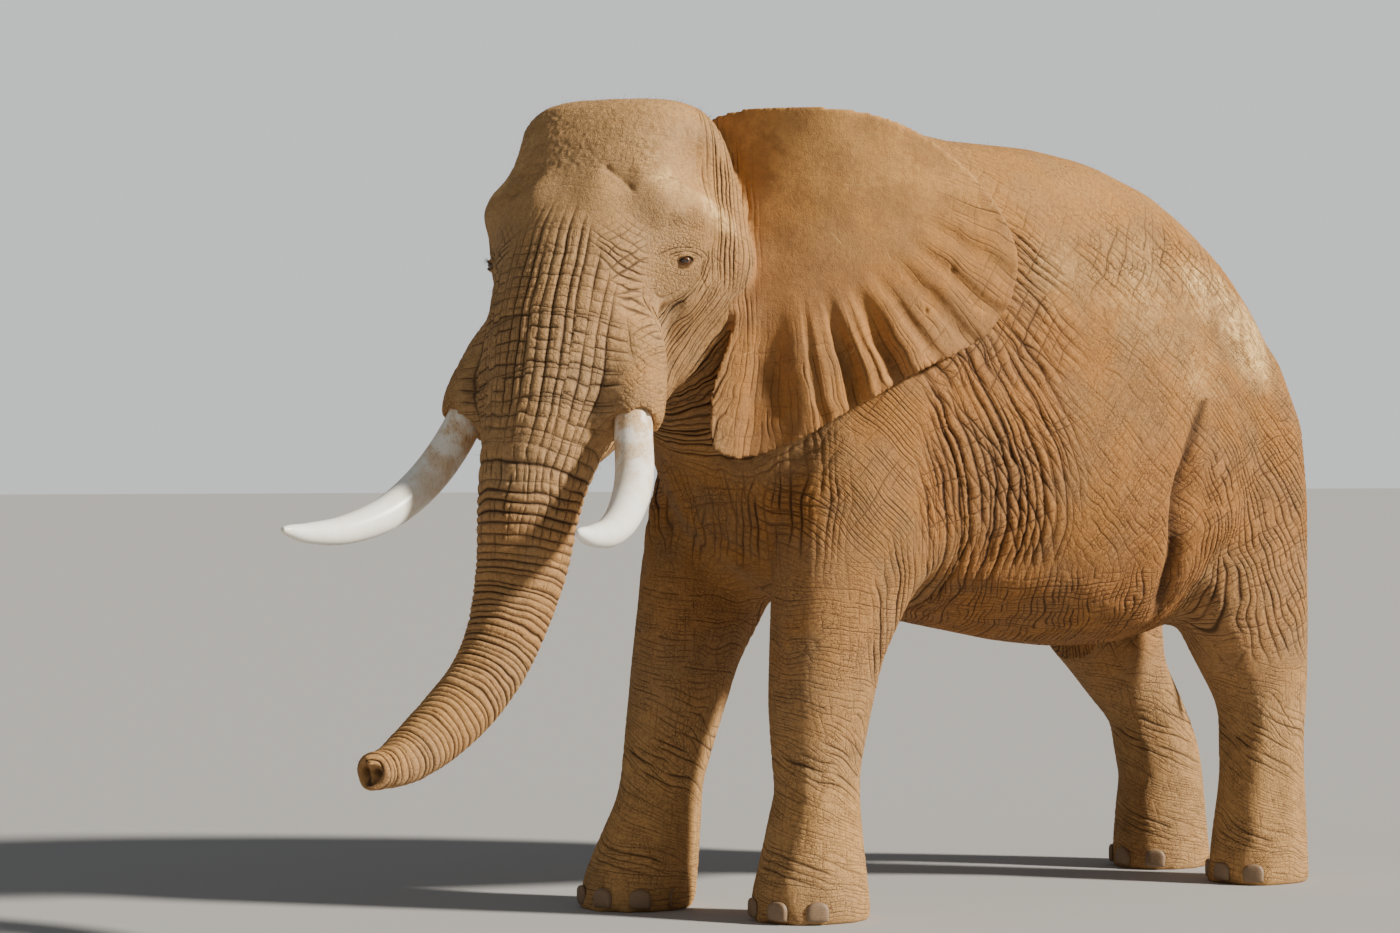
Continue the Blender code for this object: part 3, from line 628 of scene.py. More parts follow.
FACE_FROM, FACE_HALF_WIDTH, FACE_BOTTOM = -0.30, 0.62, 0.5
PLEATED_TO, PLEATED_BOTTOM, PLEATED_TOP, SHEET_REACH = 0.80, 1.70, 2.35, 0.03
LID_REACHES = (0.16, 0.085)


def part_of_face(points, triangles):
    """True for the triangles of the face, trunk and jaw."""
    side, ahead, height = head_coordinates(points[triangles].mean(axis=1)).T
    return (ahead > FACE_FROM) & (np.abs(side) < FACE_HALF_WIDTH) & (height > FACE_BOTTOM)


def lower_ear(points, triangles):
    """True for the triangles of the pleated lower part of either ear."""
    middles = points[triangles].mean(axis=1)
    tall = middles[:, 2]
    chosen = np.zeros(len(middles), bool)
    for name in EAR_ROOTS:
        root, back, out = ear_directions(name)
        away = middles - root
        behind = away @ back
        chosen |= ((np.abs(away @ out - ear_lift(behind, tall)) < SHEET_REACH) & (behind > 0.0)
                   & (behind < PLEATED_TO) & (tall > PLEATED_BOTTOM) & (tall < PLEATED_TOP))
    return chosen


print("finer places chosen")

# %% Split where it counts
triangles, flat = in_triangles(skin_points, skin_faces, pattern)
points = skin_points
points, triangles, flat = split(points, triangles, flat, part_of_face(points, triangles)
                                | lower_ear(points, triangles))
for reach in LID_REACHES:
    middles = points[triangles].mean(axis=1)
    near_eye = np.minimum(reach_from(middles, left_eye), reach_from(middles, right_eye)) < reach
    points, triangles, flat = split(points, triangles, flat, near_eye)
print("skin:", len(points), "points,", len(triangles), "triangles")

# %% [markdown]
# ## Noise to work with
#
# Nature repeats itself but never exactly. Two small tools give that: a die that throws the
# same number for the same cell every time, and a smooth noise that blends the throws of
# the eight cells round a point.

# %% Make a repeatable die and a smooth noise
def dice(i, j, k, seed):
    """A number from 0 to 1 for each cell, always the same one."""
    mixed = np.uint32((seed * 2654435761) & 0xFFFFFFFF)
    with np.errstate(over="ignore"):
        for number, factor in ((i, 73856093), (j, 19349663), (k, 83492791)):
            mixed = mixed ^ np.asarray(number, np.int64).astype(np.uint32) * np.uint32(factor)
        for shift, factor in ((15, 2246822519), (13, 3266489917)):
            mixed = (mixed ^ (mixed >> np.uint32(shift))) * np.uint32(factor)
    mixed = mixed ^ (mixed >> np.uint32(16))
    return mixed.astype(np.float64) / 4294967295.0


def wander(places, size, seed):
    """Smooth noise from -1 to 1 with bumps of the given size."""
    scaled = places / size
    cell = np.floor(scaled)
    part = scaled - cell
    part = part * part * (3.0 - 2.0 * part)
    cell = cell.astype(np.int64)
    total = np.zeros(len(places))
    for corner in range(8):
        shift = (corner & 1, corner >> 1 & 1, corner >> 2 & 1)
        weight = np.ones(len(places))
        for axis in range(3):
            weight *= part[:, axis] if shift[axis] else 1.0 - part[:, axis]
        total += weight * dice(*(cell[:, axis] + shift[axis] for axis in range(3)), seed)
    return 2.0 * total - 1.0


print("noise at three points:", wander(points[:3], 0.1, 1).round(3))

# %% [markdown]
# ## Bone and hollow
#
# Under the hide of the face lie hard edges: the ridge over the eye, the cheekbone, and the
# rim of the hollow at the temple. Each is a soft push outwards or inwards round a place,
# the same on both sides of the head. The body gets the edges of the hip in the same way.

# %% Push the bones out and the hollows in
HEAD_FORMS = [
    # side, ahead, height, reach, push
    (0.425, 0.170, 2.690, 0.12, 0.020),     # ridge over the eye
    (0.465, 0.060, 2.635, 0.11, 0.016),
    (0.500, -0.080, 2.500, 0.14, 0.014),    # cheekbone
    (0.370, 0.100, 2.850, 0.17, -0.036),    # hollow of the temple
    (0.400, 0.290, 2.590, 0.10, -0.014),    # above the lid
    (0.190, 0.360, 2.795, 0.090, -0.012),   # dent in the forehead
    (0.270, 0.350, 2.810, 0.070, 0.010),
    (0.120, 0.400, 2.720, 0.110, 0.010),
    (0.330, 0.360, 2.700, 0.110, 0.012),    # brow
    (0.368, 0.236, 2.304, 0.045, -0.008),   # gland behind the eye
    (0.370, 0.230, 2.200, 0.130, -0.020),   # cheek behind the base of the trunk
    (0.330, 0.180, 2.060, 0.110, -0.016),
    (0.330, 0.560, 2.020, 0.120, 0.012),    # swelling over the tusk
]
BODY_FORMS = [
    # beside the middle, along, height, reach, push
    (0.60, 1.50, 2.44, 0.16, 0.012),        # point of the hip
    (0.55, 1.62, 2.62, 0.20, 0.010),
    (0.58, 1.85, 2.28, 0.16, 0.010),
    (0.62, 1.66, 2.20, 0.24, -0.018),       # in front of the thigh
    (0.74, 1.40, 1.58, 0.17, -0.030),       # hollow of the groin
    (0.66, 1.62, 1.50, 0.20, 0.016),
    (0.70, 0.00, 2.05, 0.30, 0.014),        # shoulder blade
]
BODY_MIDDLE = float(middle_of("tail").x)


def pushed(points, normals, place, reach, amount):
    """Moves the points near a place along their normals."""
    near = np.flatnonzero(reach_from(points, place) < reach)
    part = 1.0 - (reach_from(points[near], place) / reach)**2
    points[near] += normals[near] * (amount * part * part)[:, None]


normals = normals_of(points, triangles)
for sign in (1.0, -1.0):
    for side, ahead, height, reach, amount in HEAD_FORMS:
        pushed(points, normals, in_head(sign * side, ahead, height), reach, amount)
    for beside, along, height, reach, amount in BODY_FORMS:
        pushed(points, normals, (BODY_MIDDLE + sign * beside, along, height), reach, amount)
print("forms pushed:", 2 * (len(HEAD_FORMS) + len(BODY_FORMS)))

# %% [markdown]
# ## The eyes' sockets and lids
#
# An elephant's eye is small and sits on the side of the face under a heavy lid. The skin
# round it is drawn over the ball like a dome. Inside an almond shape the skin drops behind
# the front of the ball, so the ball shows through a real opening with thick rims.

# %% Draw the opening of the lids
EYE_RADIUS = 0.028
LID_THICK = 0.0055
SOCKET_REACH = 0.075
OPENING_HALF_WIDTH = 0.0285
OPENING_UP = 0.0165
OPENING_DOWN = 0.0120
OPENING_TILT = 0.16
GAZE_AHEAD = 0.25
GAZE_DOWN = 0.04


def eye_directions(eye_middle, points, normals):
    """The eye's own outward, forward and up directions, from the skin round it."""
    near = reach_from(points, eye_middle) < SOCKET_REACH
    outward = Vector(normals[near].mean(axis=0)).normalized()
    outward = (outward + GAZE_AHEAD * HEAD_FORWARD - GAZE_DOWN * UP).normalized()
    along = (HEAD_FORWARD - outward * HEAD_FORWARD.dot(outward)).normalized()
    upward = outward.cross(along)
    return outward, along, upward if upward.z > 0.0 else -upward


def opening_distance(along, upward):
    """How far outside the almond opening a point is; below 0 is inside."""
    tilt = upward + OPENING_TILT * along
    half = np.where(tilt > 0, OPENING_UP, OPENING_DOWN)
    across = np.clip(1.0 - (np.abs(along) / OPENING_HALF_WIDTH)**2.0, 0.0, None)
    beside = np.maximum(np.abs(along) - OPENING_HALF_WIDTH, 0.0)
    over = np.abs(tilt) - half * across
    return np.where(beside > 0, np.hypot(np.maximum(over, 0.0), beside), over)


print("opening of the lids drawn")

# %% Shape the lids
def lids(points, normals, eye_middle):
    """The points with a dome, a rim and an opening round one eye."""
    directions = eye_directions(eye_middle, points, normals)
    away = points - np.array(eye_middle)
    outward, along, upward = (away @ np.array(direction) for direction in directions)
    sidewise = np.hypot(along, upward)
    near = (sidewise < SOCKET_REACH) & (outward > -0.02)
    dome_radius = EYE_RADIUS + LID_THICK
    dome = np.sqrt(np.clip(dome_radius**2 - sidewise**2, 0.0, None)) - 0.008 * (
        sidewise / dome_radius)**4
    raised = 0.5 * (outward + dome + np.sqrt((outward - dome)**2 + 0.006**2))
    blend = step_down(sidewise, 0.75 * dome_radius, 1.30 * dome_radius)
    level = outward + (raised - outward) * blend
    gap = opening_distance(along, upward)
    rim = 0.0026 * bell(gap, 0.0030, 0.0024)
    rim -= 0.0030 * bell(gap, 0.0095, 0.0022) * (upward > -0.004)
    rim -= 0.0022 * bell(gap, 0.0170, 0.0026)
    behind = np.sqrt(np.clip(EYE_RADIUS**2 - sidewise**2, 0.0, None)) - 0.009
    inside = step_down(gap, -0.0012, 0.0010)
    level = (level + rim * blend) * (1.0 - inside) + behind * inside
    moved = np.where(near, level - outward, 0.0)
    return points + moved[:, None] * np.array(directions[0]), directions


normals = normals_of(points, triangles)
points, left_gaze = lids(points, normals, left_eye)
points, right_gaze = lids(points, normals, right_eye)
print("left eye looks along", [round(value, 2) for value in left_gaze[0]])

# %% [markdown]
# ## Where each kind of hide is
#
# Wrinkles follow the way the hide bends. So each point first gets its place on the animal:
# how far down the trunk it is and how far round it, how far round a leg, and how far out
# on an ear.

# %% Write the tool for routes
TRUNK_ROUTE = [
    # ahead, to the left, height, radius
    (0.16, 0.00, 2.86, 0.30), (0.28, 0.00, 2.62, 0.30), (0.38, 0.00, 2.36, 0.28),
    (0.48, 0.00, 2.12, 0.26), (0.57, 0.00, 1.88, 0.233), (0.63, -0.02, 1.68, 0.202),
    (0.69, -0.03, 1.39, 0.171), (0.735, -0.045, 1.235, 0.153), (0.80, -0.065, 1.08, 0.136),
    (0.89, -0.09, 0.96, 0.128), (1.00, -0.12, 0.865, 0.123), (1.12, -0.15, 0.785, 0.114),
    (1.25, -0.175, 0.720, 0.099), (1.37, -0.19, 0.685, 0.082), (1.50, -0.196, 0.675, 0.062),
]


def open_curve(corners, steps):
    """A smooth line through the corners, with the given steps between two."""
    corners = np.array(corners)
    padded = np.concatenate([2 * corners[:1] - corners[1:2], corners,
                             2 * corners[-1:] - corners[-2:-1]])
    along = np.linspace(0.0, len(corners) - 1.0, (len(corners) - 1) * steps + 1)
    start = np.minimum(np.floor(along).astype(int), len(corners) - 2)
    part = (along - start)[:, None]
    return curve_between(*(padded[start + shift] for shift in (0, 1, 2, 3)), part)


def along_route(places, line, radius):
    """For each place: length along the line, offset from it, radius and heading there."""
    best = np.full(len(places), 1e9)
    length = np.zeros(len(places))
    offset = np.zeros_like(places)
    thick = np.zeros(len(places))
    heading = np.zeros_like(places)
    passed = 0.0
    for start, end, r0, r1 in zip(line, line[1:], radius, radius[1:]):
        step = end - start
        size = np.linalg.norm(step)
        part = np.clip((places - start) @ step / size**2, 0.0, 1.0)
        away = places - start - part[:, None] * step
        far = np.einsum("ij,ij->i", away, away)
        closer = far < best
        best = np.where(closer, far, best)
        length = np.where(closer, passed + part * size, length)
        thick = np.where(closer, r0 + (r1 - r0) * part, thick)
        offset[closer] = away[closer]
        heading[closer] = step / size
        passed += size
    return length, offset, thick, heading


print("route tool ready")

# %% Measure places along the trunk
route = open_curve(TRUNK_ROUTE, 4)
trunk_line = np.array([in_head(side, ahead, height)[:] for ahead, side, height, _ in route])
side, ahead, height = head_coordinates(points).T
trunk_near = (ahead > 0.05) & (np.abs(side) < 0.55) & (height > 0.5)
length = np.zeros(len(points))
thick = np.ones(len(points))
round_trunk = np.zeros(len(points))
from_line = np.full(len(points), 9.0)
found = along_route(points[trunk_near], trunk_line, route[:, 3])
length[trunk_near], thick[trunk_near] = found[0], found[2]
frontwards = np.cross(found[3], np.array(HEAD_SIDE))
frontwards /= np.linalg.norm(frontwards, axis=1)[:, None]
round_trunk[trunk_near] = np.arctan2(found[1] @ np.array(HEAD_SIDE),
                                     np.einsum("ij,ij->i", found[1], frontwards))
from_line[trunk_near] = np.linalg.norm(found[1], axis=1)
on_trunk = step_down(from_line / thick, 1.28, 1.55)
print("trunk is", round(float(length.max()), 2), "m long")

# %% [markdown]
# The tip is blunt, with two nostrils side by side. An African elephant has two fingers
# there, one over the nostrils and a broader one under them.

# %% Open the nostrils
TIP_REACH = 0.09
NOSTRIL_APART = 0.019

tip = trunk_line[-1]
tip_heading = (trunk_line[-1] - trunk_line[-3]) / np.linalg.norm(trunk_line[-1] - trunk_line[-3])
tip_side = np.array(HEAD_SIDE) - tip_heading * (np.array(HEAD_SIDE) @ tip_heading)
tip_side /= np.linalg.norm(tip_side)
tip_up = np.cross(tip_heading, tip_side)
tip_up *= np.sign(tip_up[2])
tip_near = np.flatnonzero(reach_from(points, tip) < 0.16)
away = points[tip_near] - tip
out, sidewise, over = away @ tip_heading, away @ tip_side, away @ tip_up
nostril = bell(np.abs(sidewise), NOSTRIL_APART, 0.012) * bell(over, 0.002, 0.017)
nostril *= step_up(out, -0.07, -0.03)
blunt = step_up(out, -TIP_REACH, -0.03)
widened = 0.30 * blunt * step_up(np.hypot(sidewise, over), 0.008, 0.030)
forth = -0.012 * step_up(out, -0.03, 0.0) - 0.030 * nostril
forth += 0.026 * blunt * bell(sidewise, 0.0, 0.020) * bell(over, 0.040, 0.015)
forth += 0.016 * blunt * bell(sidewise, 0.0, 0.030) * bell(over, -0.040, 0.015)
points[tip_near] += (tip_side * (sidewise * widened)[:, None]
                     + tip_up * (over * widened)[:, None]
                     + tip_heading * forth[:, None])
# The openings of the nostrils are darkened later as painted shade.
nostril_shade = np.zeros(len(points))
nostril_shade[tip_near] = nostril
print("points round the nostrils:", int((nostril > 0.5).sum()))

# %% Measure places on the legs
LEG_NODES = (("foreleg_left", "forefoot_left"), ("foreleg_right", "forefoot_right"),
             ("hindleg_left", "hindfoot_left"), ("hindleg_right", "hindfoot_right"))
LEG_TOP = 1.15
LEG_FADE = 0.45
EAR_NEAR = 0.012

round_leg = np.zeros(len(points))
on_leg = np.zeros(len(points))
for upper, foot in LEG_NODES:
    foot_low, foot_high = (np.array(corner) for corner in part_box(foot))
    leg_low, leg_high = (np.array(corner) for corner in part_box(upper))
    foot_middle = (foot_low + foot_high) / 2.0
    leg_middle = (leg_low + leg_high) / 2.0
    share = np.clip(points[:, 2] / leg_high[2], 0.0, 1.0)[:, None]
    axis = foot_middle[:2] + (leg_middle[:2] - foot_middle[:2]) * share
    away = points[:, :2] - axis
    mine = np.linalg.norm(away, axis=1) < 0.36 + 0.10 * share[:, 0]
    mine &= points[:, 2] < LEG_TOP + LEG_FADE
    round_leg = np.where(mine, np.arctan2(away[:, 0], -away[:, 1]), round_leg)
    on_leg = np.maximum(on_leg, mine * step_down(points[:, 2], LEG_TOP, LEG_TOP + LEG_FADE))
on_trunk *= 1.0 - on_leg
print("share of points on legs:", round(float((on_leg > 0.5).mean()), 3))

# %% Measure places on the ears and the body
on_ear = np.zeros(len(points))
ear_behind = np.zeros(len(points))
root_behind = np.zeros(len(points))
ear_out = np.zeros_like(points)
for name in EAR_ROOTS:
    root, back, out = ear_directions(name)
    away = points - root
    behind, outwards = away @ back, away @ out
    same_side = side > 0.0 if name == "left" else side <= 0.0
    root_behind = np.where(same_side, behind, root_behind)
    lift = ear_lift(behind, points[:, 2])
    sheet = 1.0 - step_up(np.abs(outwards - lift), EAR_THICK / 2 + EAR_NEAR,
                          EAR_THICK / 2 + 2.2 * EAR_NEAR)
    mine = sheet * step_up(behind, -0.14, 0.02) * (behind < EAR_LENGTH + 0.1) * (
        points[:, 2] > 1.70)
    ear_behind = np.where(mine > 0, behind, ear_behind)
    on_ear = np.maximum(on_ear, mine)
    ear_out += mine[:, None] * out

beside = np.abs(points[:, 0] - BODY_MIDDLE)
on_head = step_up(ahead, -0.45, -0.20) * step_up(height, 1.6, 1.75)
on_head = np.clip(on_head - on_ear - on_leg, 0.0, 1.0)
on_body = np.clip(1.0 - on_head - on_ear - on_leg - on_trunk, 0.0, 1.0)
print("share of points on ears:", round(float((on_ear > 0.5).mean()), 3))

# %% [markdown]
# ## Creases
#
# Dry hide cracks like dry mud, into cells. Where the hide bends one way again and again
# the cells are drawn out, and the cracks run together into long creases. So two tools are
# enough. The first makes a net of cells from any two numbers that grow across and along
# the creases. The second makes nearly parallel cuts from one such number, counted in
# steps, where each cut gets its own strength and fades in and out along its length.
#
# Geometry Nodes works out how far each point lies from the nearest edge of a cell. The
# material has the same pattern among its textures, so the lines that it draws later fall
# exactly into the grooves that are cut here.

# %% Write the net tool
def crack_distance(cells, loose):
    """How far each place lies from the nearest crack, in cells."""
    carrier = bpy.data.meshes.new("places")
    carrier.vertices.add(len(cells))
    flat_places = np.concatenate([cells, np.zeros((len(cells), 1))], axis=1)
    carrier.vertices.foreach_set("co", flat_places.astype(np.float32).ravel())
    thing = object_from("places", carrier)
    tree = bpy.data.node_groups.new("cells", "GeometryNodeTree")
    for way in ("INPUT", "OUTPUT"):
        tree.interface.new_socket("Geometry", in_out=way, socket_type="NodeSocketGeometry")
    start, end = tree.nodes.new("NodeGroupInput"), tree.nodes.new("NodeGroupOutput")
    store = tree.nodes.new("GeometryNodeStoreNamedAttribute")
    store.inputs["Name"].default_value = "distance"
    cracks = tree.nodes.new("ShaderNodeTexVoronoi")
    cracks.voronoi_dimensions = "2D"
    cracks.feature = "DISTANCE_TO_EDGE"
    cracks.inputs["Scale"].default_value = 1.0
    cracks.inputs["Randomness"].default_value = loose
    place = tree.nodes.new("GeometryNodeInputPosition")
    tree.links.new(place.outputs[0], cracks.inputs["Vector"])
    tree.links.new(cracks.outputs["Distance"], store.inputs["Value"])
    tree.links.new(start.outputs[0], store.inputs["Geometry"])
    tree.links.new(store.outputs[0], end.inputs[0])
    thing.modifiers.new("cells", "NODES").node_group = tree
    bpy.context.view_layer.update()
    seen = thing.evaluated_get(bpy.context.evaluated_depsgraph_get()).data
    found = np.empty(len(cells), np.float32)
    seen.attributes["distance"].data.foreach_get("value", found)
    bpy.data.objects.remove(thing)
    bpy.data.meshes.remove(carrier)
    bpy.data.node_groups.remove(tree)
    return found.astype(np.float64)


NETS = []


def net(share, across, along, bold, depth, loose=0.9):
    """Adds a net: where it is, its two numbers, how bold and deep, how loose its cells."""
    NETS.append((share, across, along, share * bold, depth, loose))


print("a place in the middle of a cell is", round(float(
    crack_distance(np.array([[0.5, 0.5]]), 0.0)[0]), 2), "cells from its edge")

# %% Write the tool for parallel cuts
LINE_WIDTH = 0.0052
FOLDS = []


def uneven(steps, seed, amount=0.55):
    """The same steps with each whole number moved a little to one side."""
    first = int(np.floor(steps.min())) - 2
    knots = np.arange(first, int(np.ceil(steps.max())) + 3)
    return np.interp(steps, knots + amount * (dice(knots, 5, 0, seed) - 0.5), knots)


def fold_strength(steps, along, seed, run, broken):
    """How strong the nearest cut is at each place."""
    line = np.floor(steps + 0.5)
    strength = 0.50 + 0.50 * dice(line, 1, 0, seed)
    stretch = along / run + 37.0 * dice(line, 2, 0, seed)
    cell = np.floor(stretch)
    part = stretch - cell
    part = part * part * (3.0 - 2.0 * part)
    here = dice(cell, line, 3, seed) * (1.0 - part) + dice(cell + 1, line, 3, seed) * part
    return strength * step_up(here, broken - 0.18, broken + 0.22)


def groove(steps, width):
    """The shape of a cut: 1 at whole numbers of steps, falling to 0 between them."""
    away = np.abs(steps - np.floor(steps + 0.5)) / width
    return np.exp(-away**1.3)


def folds(share, across, spacing, along, seed, run, broken, depth, bold=1.0, width=0.17,
          line=LINE_WIDTH):
    """Adds a family of cuts, spaced evenly across the given number."""
    steps = uneven(across / spacing, seed)
    strength = bold * fold_strength(steps, along, seed, run, broken)
    FOLDS.append((share, steps, share * strength, depth, width, line / spacing))


print("tool for cuts ready")

# %% Make the creases wander
def counted(values, near_size, far_size, start, end, top=3.2):
    """Turns a length into steps whose size goes from near_size to far_size."""
    knots = np.linspace(0.0, top, 640)
    size = near_size + (far_size - near_size) * step_up(knots, start, end)
    total = np.concatenate([[0.0], np.cumsum(np.diff(knots) / size[1:])])
    return np.interp(values, knots, total)


warp_wide = wander(points, 0.34, 11)
warp_tall = wander(points, 0.34, 12)
warp_fine = wander(points, 0.10, 13)
warp_cross = wander(points, 0.10, 15)
warp_small = wander(points, 0.045, 14)
print("creases wander up to", round(float(22 * np.abs(warp_wide).max()), 1), "mm")

# %% [markdown]
# ## The hide of the body
#
# Behind the elbow the hide hangs in long upright folds. They lean over as they climb
# towards the ear. On the rear flank the creases sweep down and converge on the groin; here
# their net is laid out in two straight, slanting families. Along the belly the cells are small
# and square, on the thigh they slant, on the shoulder they are fine, and the back and the
# hips are stretched nearly smooth. Where two nets meet, one fades into the other.

# %% Tell the body's regions apart
GROIN = (1.46, 1.40)
BARREL = 1.75

y = points[:, 1] + 0.022 * warp_wide + 0.009 * warp_fine + 0.002 * warp_small
z = points[:, 2] + 0.022 * warp_tall + 0.009 * warp_cross - 0.002 * warp_small
round_body = 0.90 * np.arctan2(points[:, 0] - BODY_MIDDLE, BARREL - points[:, 2])
round_body += 0.009 * warp_cross

stretched = step_up(z, 2.55, 2.85)
shoulder = step_up(y, -0.50, -0.36) * step_down(y, 0.00, 0.16) * step_down(z, 1.95, 2.2)
low_part = step_down(z, 1.22, 1.40)
behind_leg = step_up(y, 0.00, 0.16)
rear_flank = step_up(y, 0.60, 0.95) * step_down(y, 1.40, 1.50)
thigh = step_up(y, 1.40, 1.50) * step_down(z, 2.20, 2.50)
belly = low_part * behind_leg * step_down(y, 1.40, 1.50)
hip = step_up(y, 0.60, 1.00) * step_up(z, 2.15, 2.50)
front = step_down(y, -0.50, -0.36) * step_down(z, 2.4, 2.7)
rear_flank = rear_flank * (1.0 - low_part) * (1.0 - hip)
near_flank = np.clip(1.0 - shoulder - belly - rear_flank - thigh - hip - front, 0.0, 1.0)
quiet = 1.0 - 0.65 * stretched

print("regions of the body told apart")

# %% Fold the near flank and the armpit
upright = y + 0.42 * np.clip(z - 1.25, 0.0, None)**2
crossing = upright + 0.50 * (z - 1.25)
level = z - 0.45 * (y - 0.4)
elbow = step_up(y, 0.02, 0.14) * step_down(y, 0.50, 0.85) * step_up(z, 1.16, 1.38)
elbow *= 1.0 - 0.7 * step_up(z, 2.00, 2.40)
flank = on_body * near_flank
flank_top = flank * step_up(z, 1.85, 2.15)
flank_low = flank - flank_top
leaning = upright + 0.018 * warp_fine
folds(flank_low, upright, 0.041, z, 21, 0.24, 0.12, 0.0100, bold=1.1 * quiet)
folds(flank_low, crossing, 0.047, z, 22, 0.14, 0.20, 0.0070, bold=quiet)
folds(flank_top, leaning, 0.060, z, 19, 0.22, 0.12, 0.0095, bold=1.1 * quiet, width=0.13)
folds(flank_top, crossing + 0.020 * warp_cross, 0.072, z, 20, 0.14, 0.22, 0.0080, bold=quiet,
      width=0.13)
folds(flank_low, level, 0.036, y, 23, 0.060, 0.42, 0.0035, bold=0.70 * quiet)
rising = 0.76 * y - 0.65 * z + 0.012 * warp_fine
folds(flank_top, rising, 0.050, z, 16, 0.070, 0.30, 0.0060, bold=0.85 * quiet, width=0.14)
folds(on_body * elbow, upright + 0.012 * warp_cross, 0.053, z, 24, 0.42, 0.20, 0.0120,
      line=0.006, width=0.15)
net(flank, upright / 0.021, (z - 0.30 * y) / 0.030, 0.50 * quiet, 0.0012)

armpit = bell(y, -0.36, 0.13) * step_up(z, 1.22, 1.42) * step_down(z, 1.80, 1.98)
folds(on_body * armpit, y + 0.6 * points[:, 0] + 0.014 * warp_fine, 0.034, z, 17, 0.16, 0.18,
      0.0120, width=0.20)
folds(on_body * armpit, z + 0.4 * y + 0.014 * warp_cross, 0.036, y, 18, 0.05, 0.40, 0.0060,
      bold=0.7)

print("families of cuts so far:", len(FOLDS))

# %% Net the rear flank and the belly
groin_reach = np.hypot(z - GROIN[1], GROIN[0] - y)
middle_calm = 1.0 - 0.35 * bell(y, 1.0, 0.28) * bell(z, 2.0, 0.25)
rear = on_body * rear_flank
sweep = 0.62 * y + 0.78 * z + 0.006 * warp_small
rise = 0.80 * y - 0.60 * z + 0.006 * warp_fine
folds(rear, sweep + 0.006 * warp_fine, 0.029, rise, 25, 0.055, 0.24, 0.0036,
      bold=0.58 * middle_calm, line=0.0040)
folds(rear, rise + 0.006 * warp_cross, 0.033, sweep, 26, 0.050, 0.28, 0.0036,
      bold=0.48 * middle_calm, line=0.0040)
net(rear, sweep / 0.0190, rise / 0.0150, 0.95 * middle_calm, 0.0026)

belly_along = y + 0.30 * round_body + 0.016 * warp_fine
belly_round = round_body - 0.25 * y + 0.016 * warp_cross
folds(on_body * belly, belly_along, 0.026, round_body, 27, 0.055, 0.18, 0.0046, bold=0.85,
      line=0.0042)
folds(on_body * belly, belly_round, 0.030, y, 28, 0.060, 0.26, 0.0044, bold=0.75, line=0.0042)
net(on_body * belly, belly_along / 0.0150, belly_round / 0.0180, 0.85, 0.0014)

print("families of cuts so far:", len(FOLDS))

# %% Net the haunch and the hip
round_rump = np.where(y > 1.45, 1.45 + 0.80 * np.arctan2(y - 1.45, 0.8 * beside), y)
slanting = round_rump + 0.60 * (z - 1.5) + 0.70 * (z - 1.5) * np.clip(z - 1.5, 0.0, None)
shallow = z - 0.50 * round_rump + 0.016 * warp_fine
hind_top = on_leg * step_up(y, 1.10, 1.35) * step_up(z, 0.84, 1.06)
haunch = on_body * thigh + hind_top
coarse = 0.55 + 0.45 * step_down(z, 1.70, 2.05)
folds(haunch, slanting + 0.014 * warp_fine, 0.037, z, 29, 0.085, 0.20, 0.0068, bold=coarse)
folds(haunch, shallow + 0.012 * warp_cross, 0.034, y, 30, 0.055, 0.36, 0.0042,
      bold=0.66 * coarse, line=0.0042)
net(haunch, slanting / 0.021, shallow / 0.0165, 0.85, 0.0024)

hip_up = 0.82 * y - 0.57 * z + 0.020 * warp_fine
hip_down = 0.70 * y + 0.72 * z + 0.020 * warp_cross
folds(on_body * hip, hip_up, 0.052, z, 35, 0.060, 0.30, 0.0044,
      bold=0.66 * (1.0 - 0.75 * stretched))
folds(on_body * hip, hip_down, 0.046, y, 36, 0.080, 0.22, 0.0046,
      bold=0.74 * (1.0 - 0.75 * stretched))
net(on_body * hip, hip_up / 0.022, hip_down / 0.029, 0.95 * (1.0 - 0.6 * stretched), 0.0026)

print("families of cuts so far:", len(FOLDS))

# %% Net the shoulder and the chest
folds(on_body * shoulder, 0.66 * y + 0.75 * z, 0.0165, y, 37, 0.10, 0.22, 0.0022, bold=0.75,
      line=0.0032)
folds(on_body * shoulder, 0.75 * y - 0.66 * z, 0.033, z, 38, 0.06, 0.40, 0.0022, bold=0.55)
net(on_body * shoulder, (0.66 * y + 0.75 * z) / 0.014, (0.75 * y - 0.66 * z) / 0.022, 0.30,
    0.0006)

front_way = points[:, 0] + 0.3 * y + 0.02 * warp_wide + 0.016 * warp_fine
folds(on_body * front, front_way, 0.040, z, 39, 0.22, 0.34, 0.0080, bold=0.55)
folds(on_body * front, z + 0.012 * warp_cross, 0.034, front_way, 40, 0.07, 0.40, 0.0040,
      bold=0.55)
net(on_body * front, front_way / 0.017, z / 0.021, 0.75, 0.0014)
print("families of cuts on the body:", len(FOLDS))
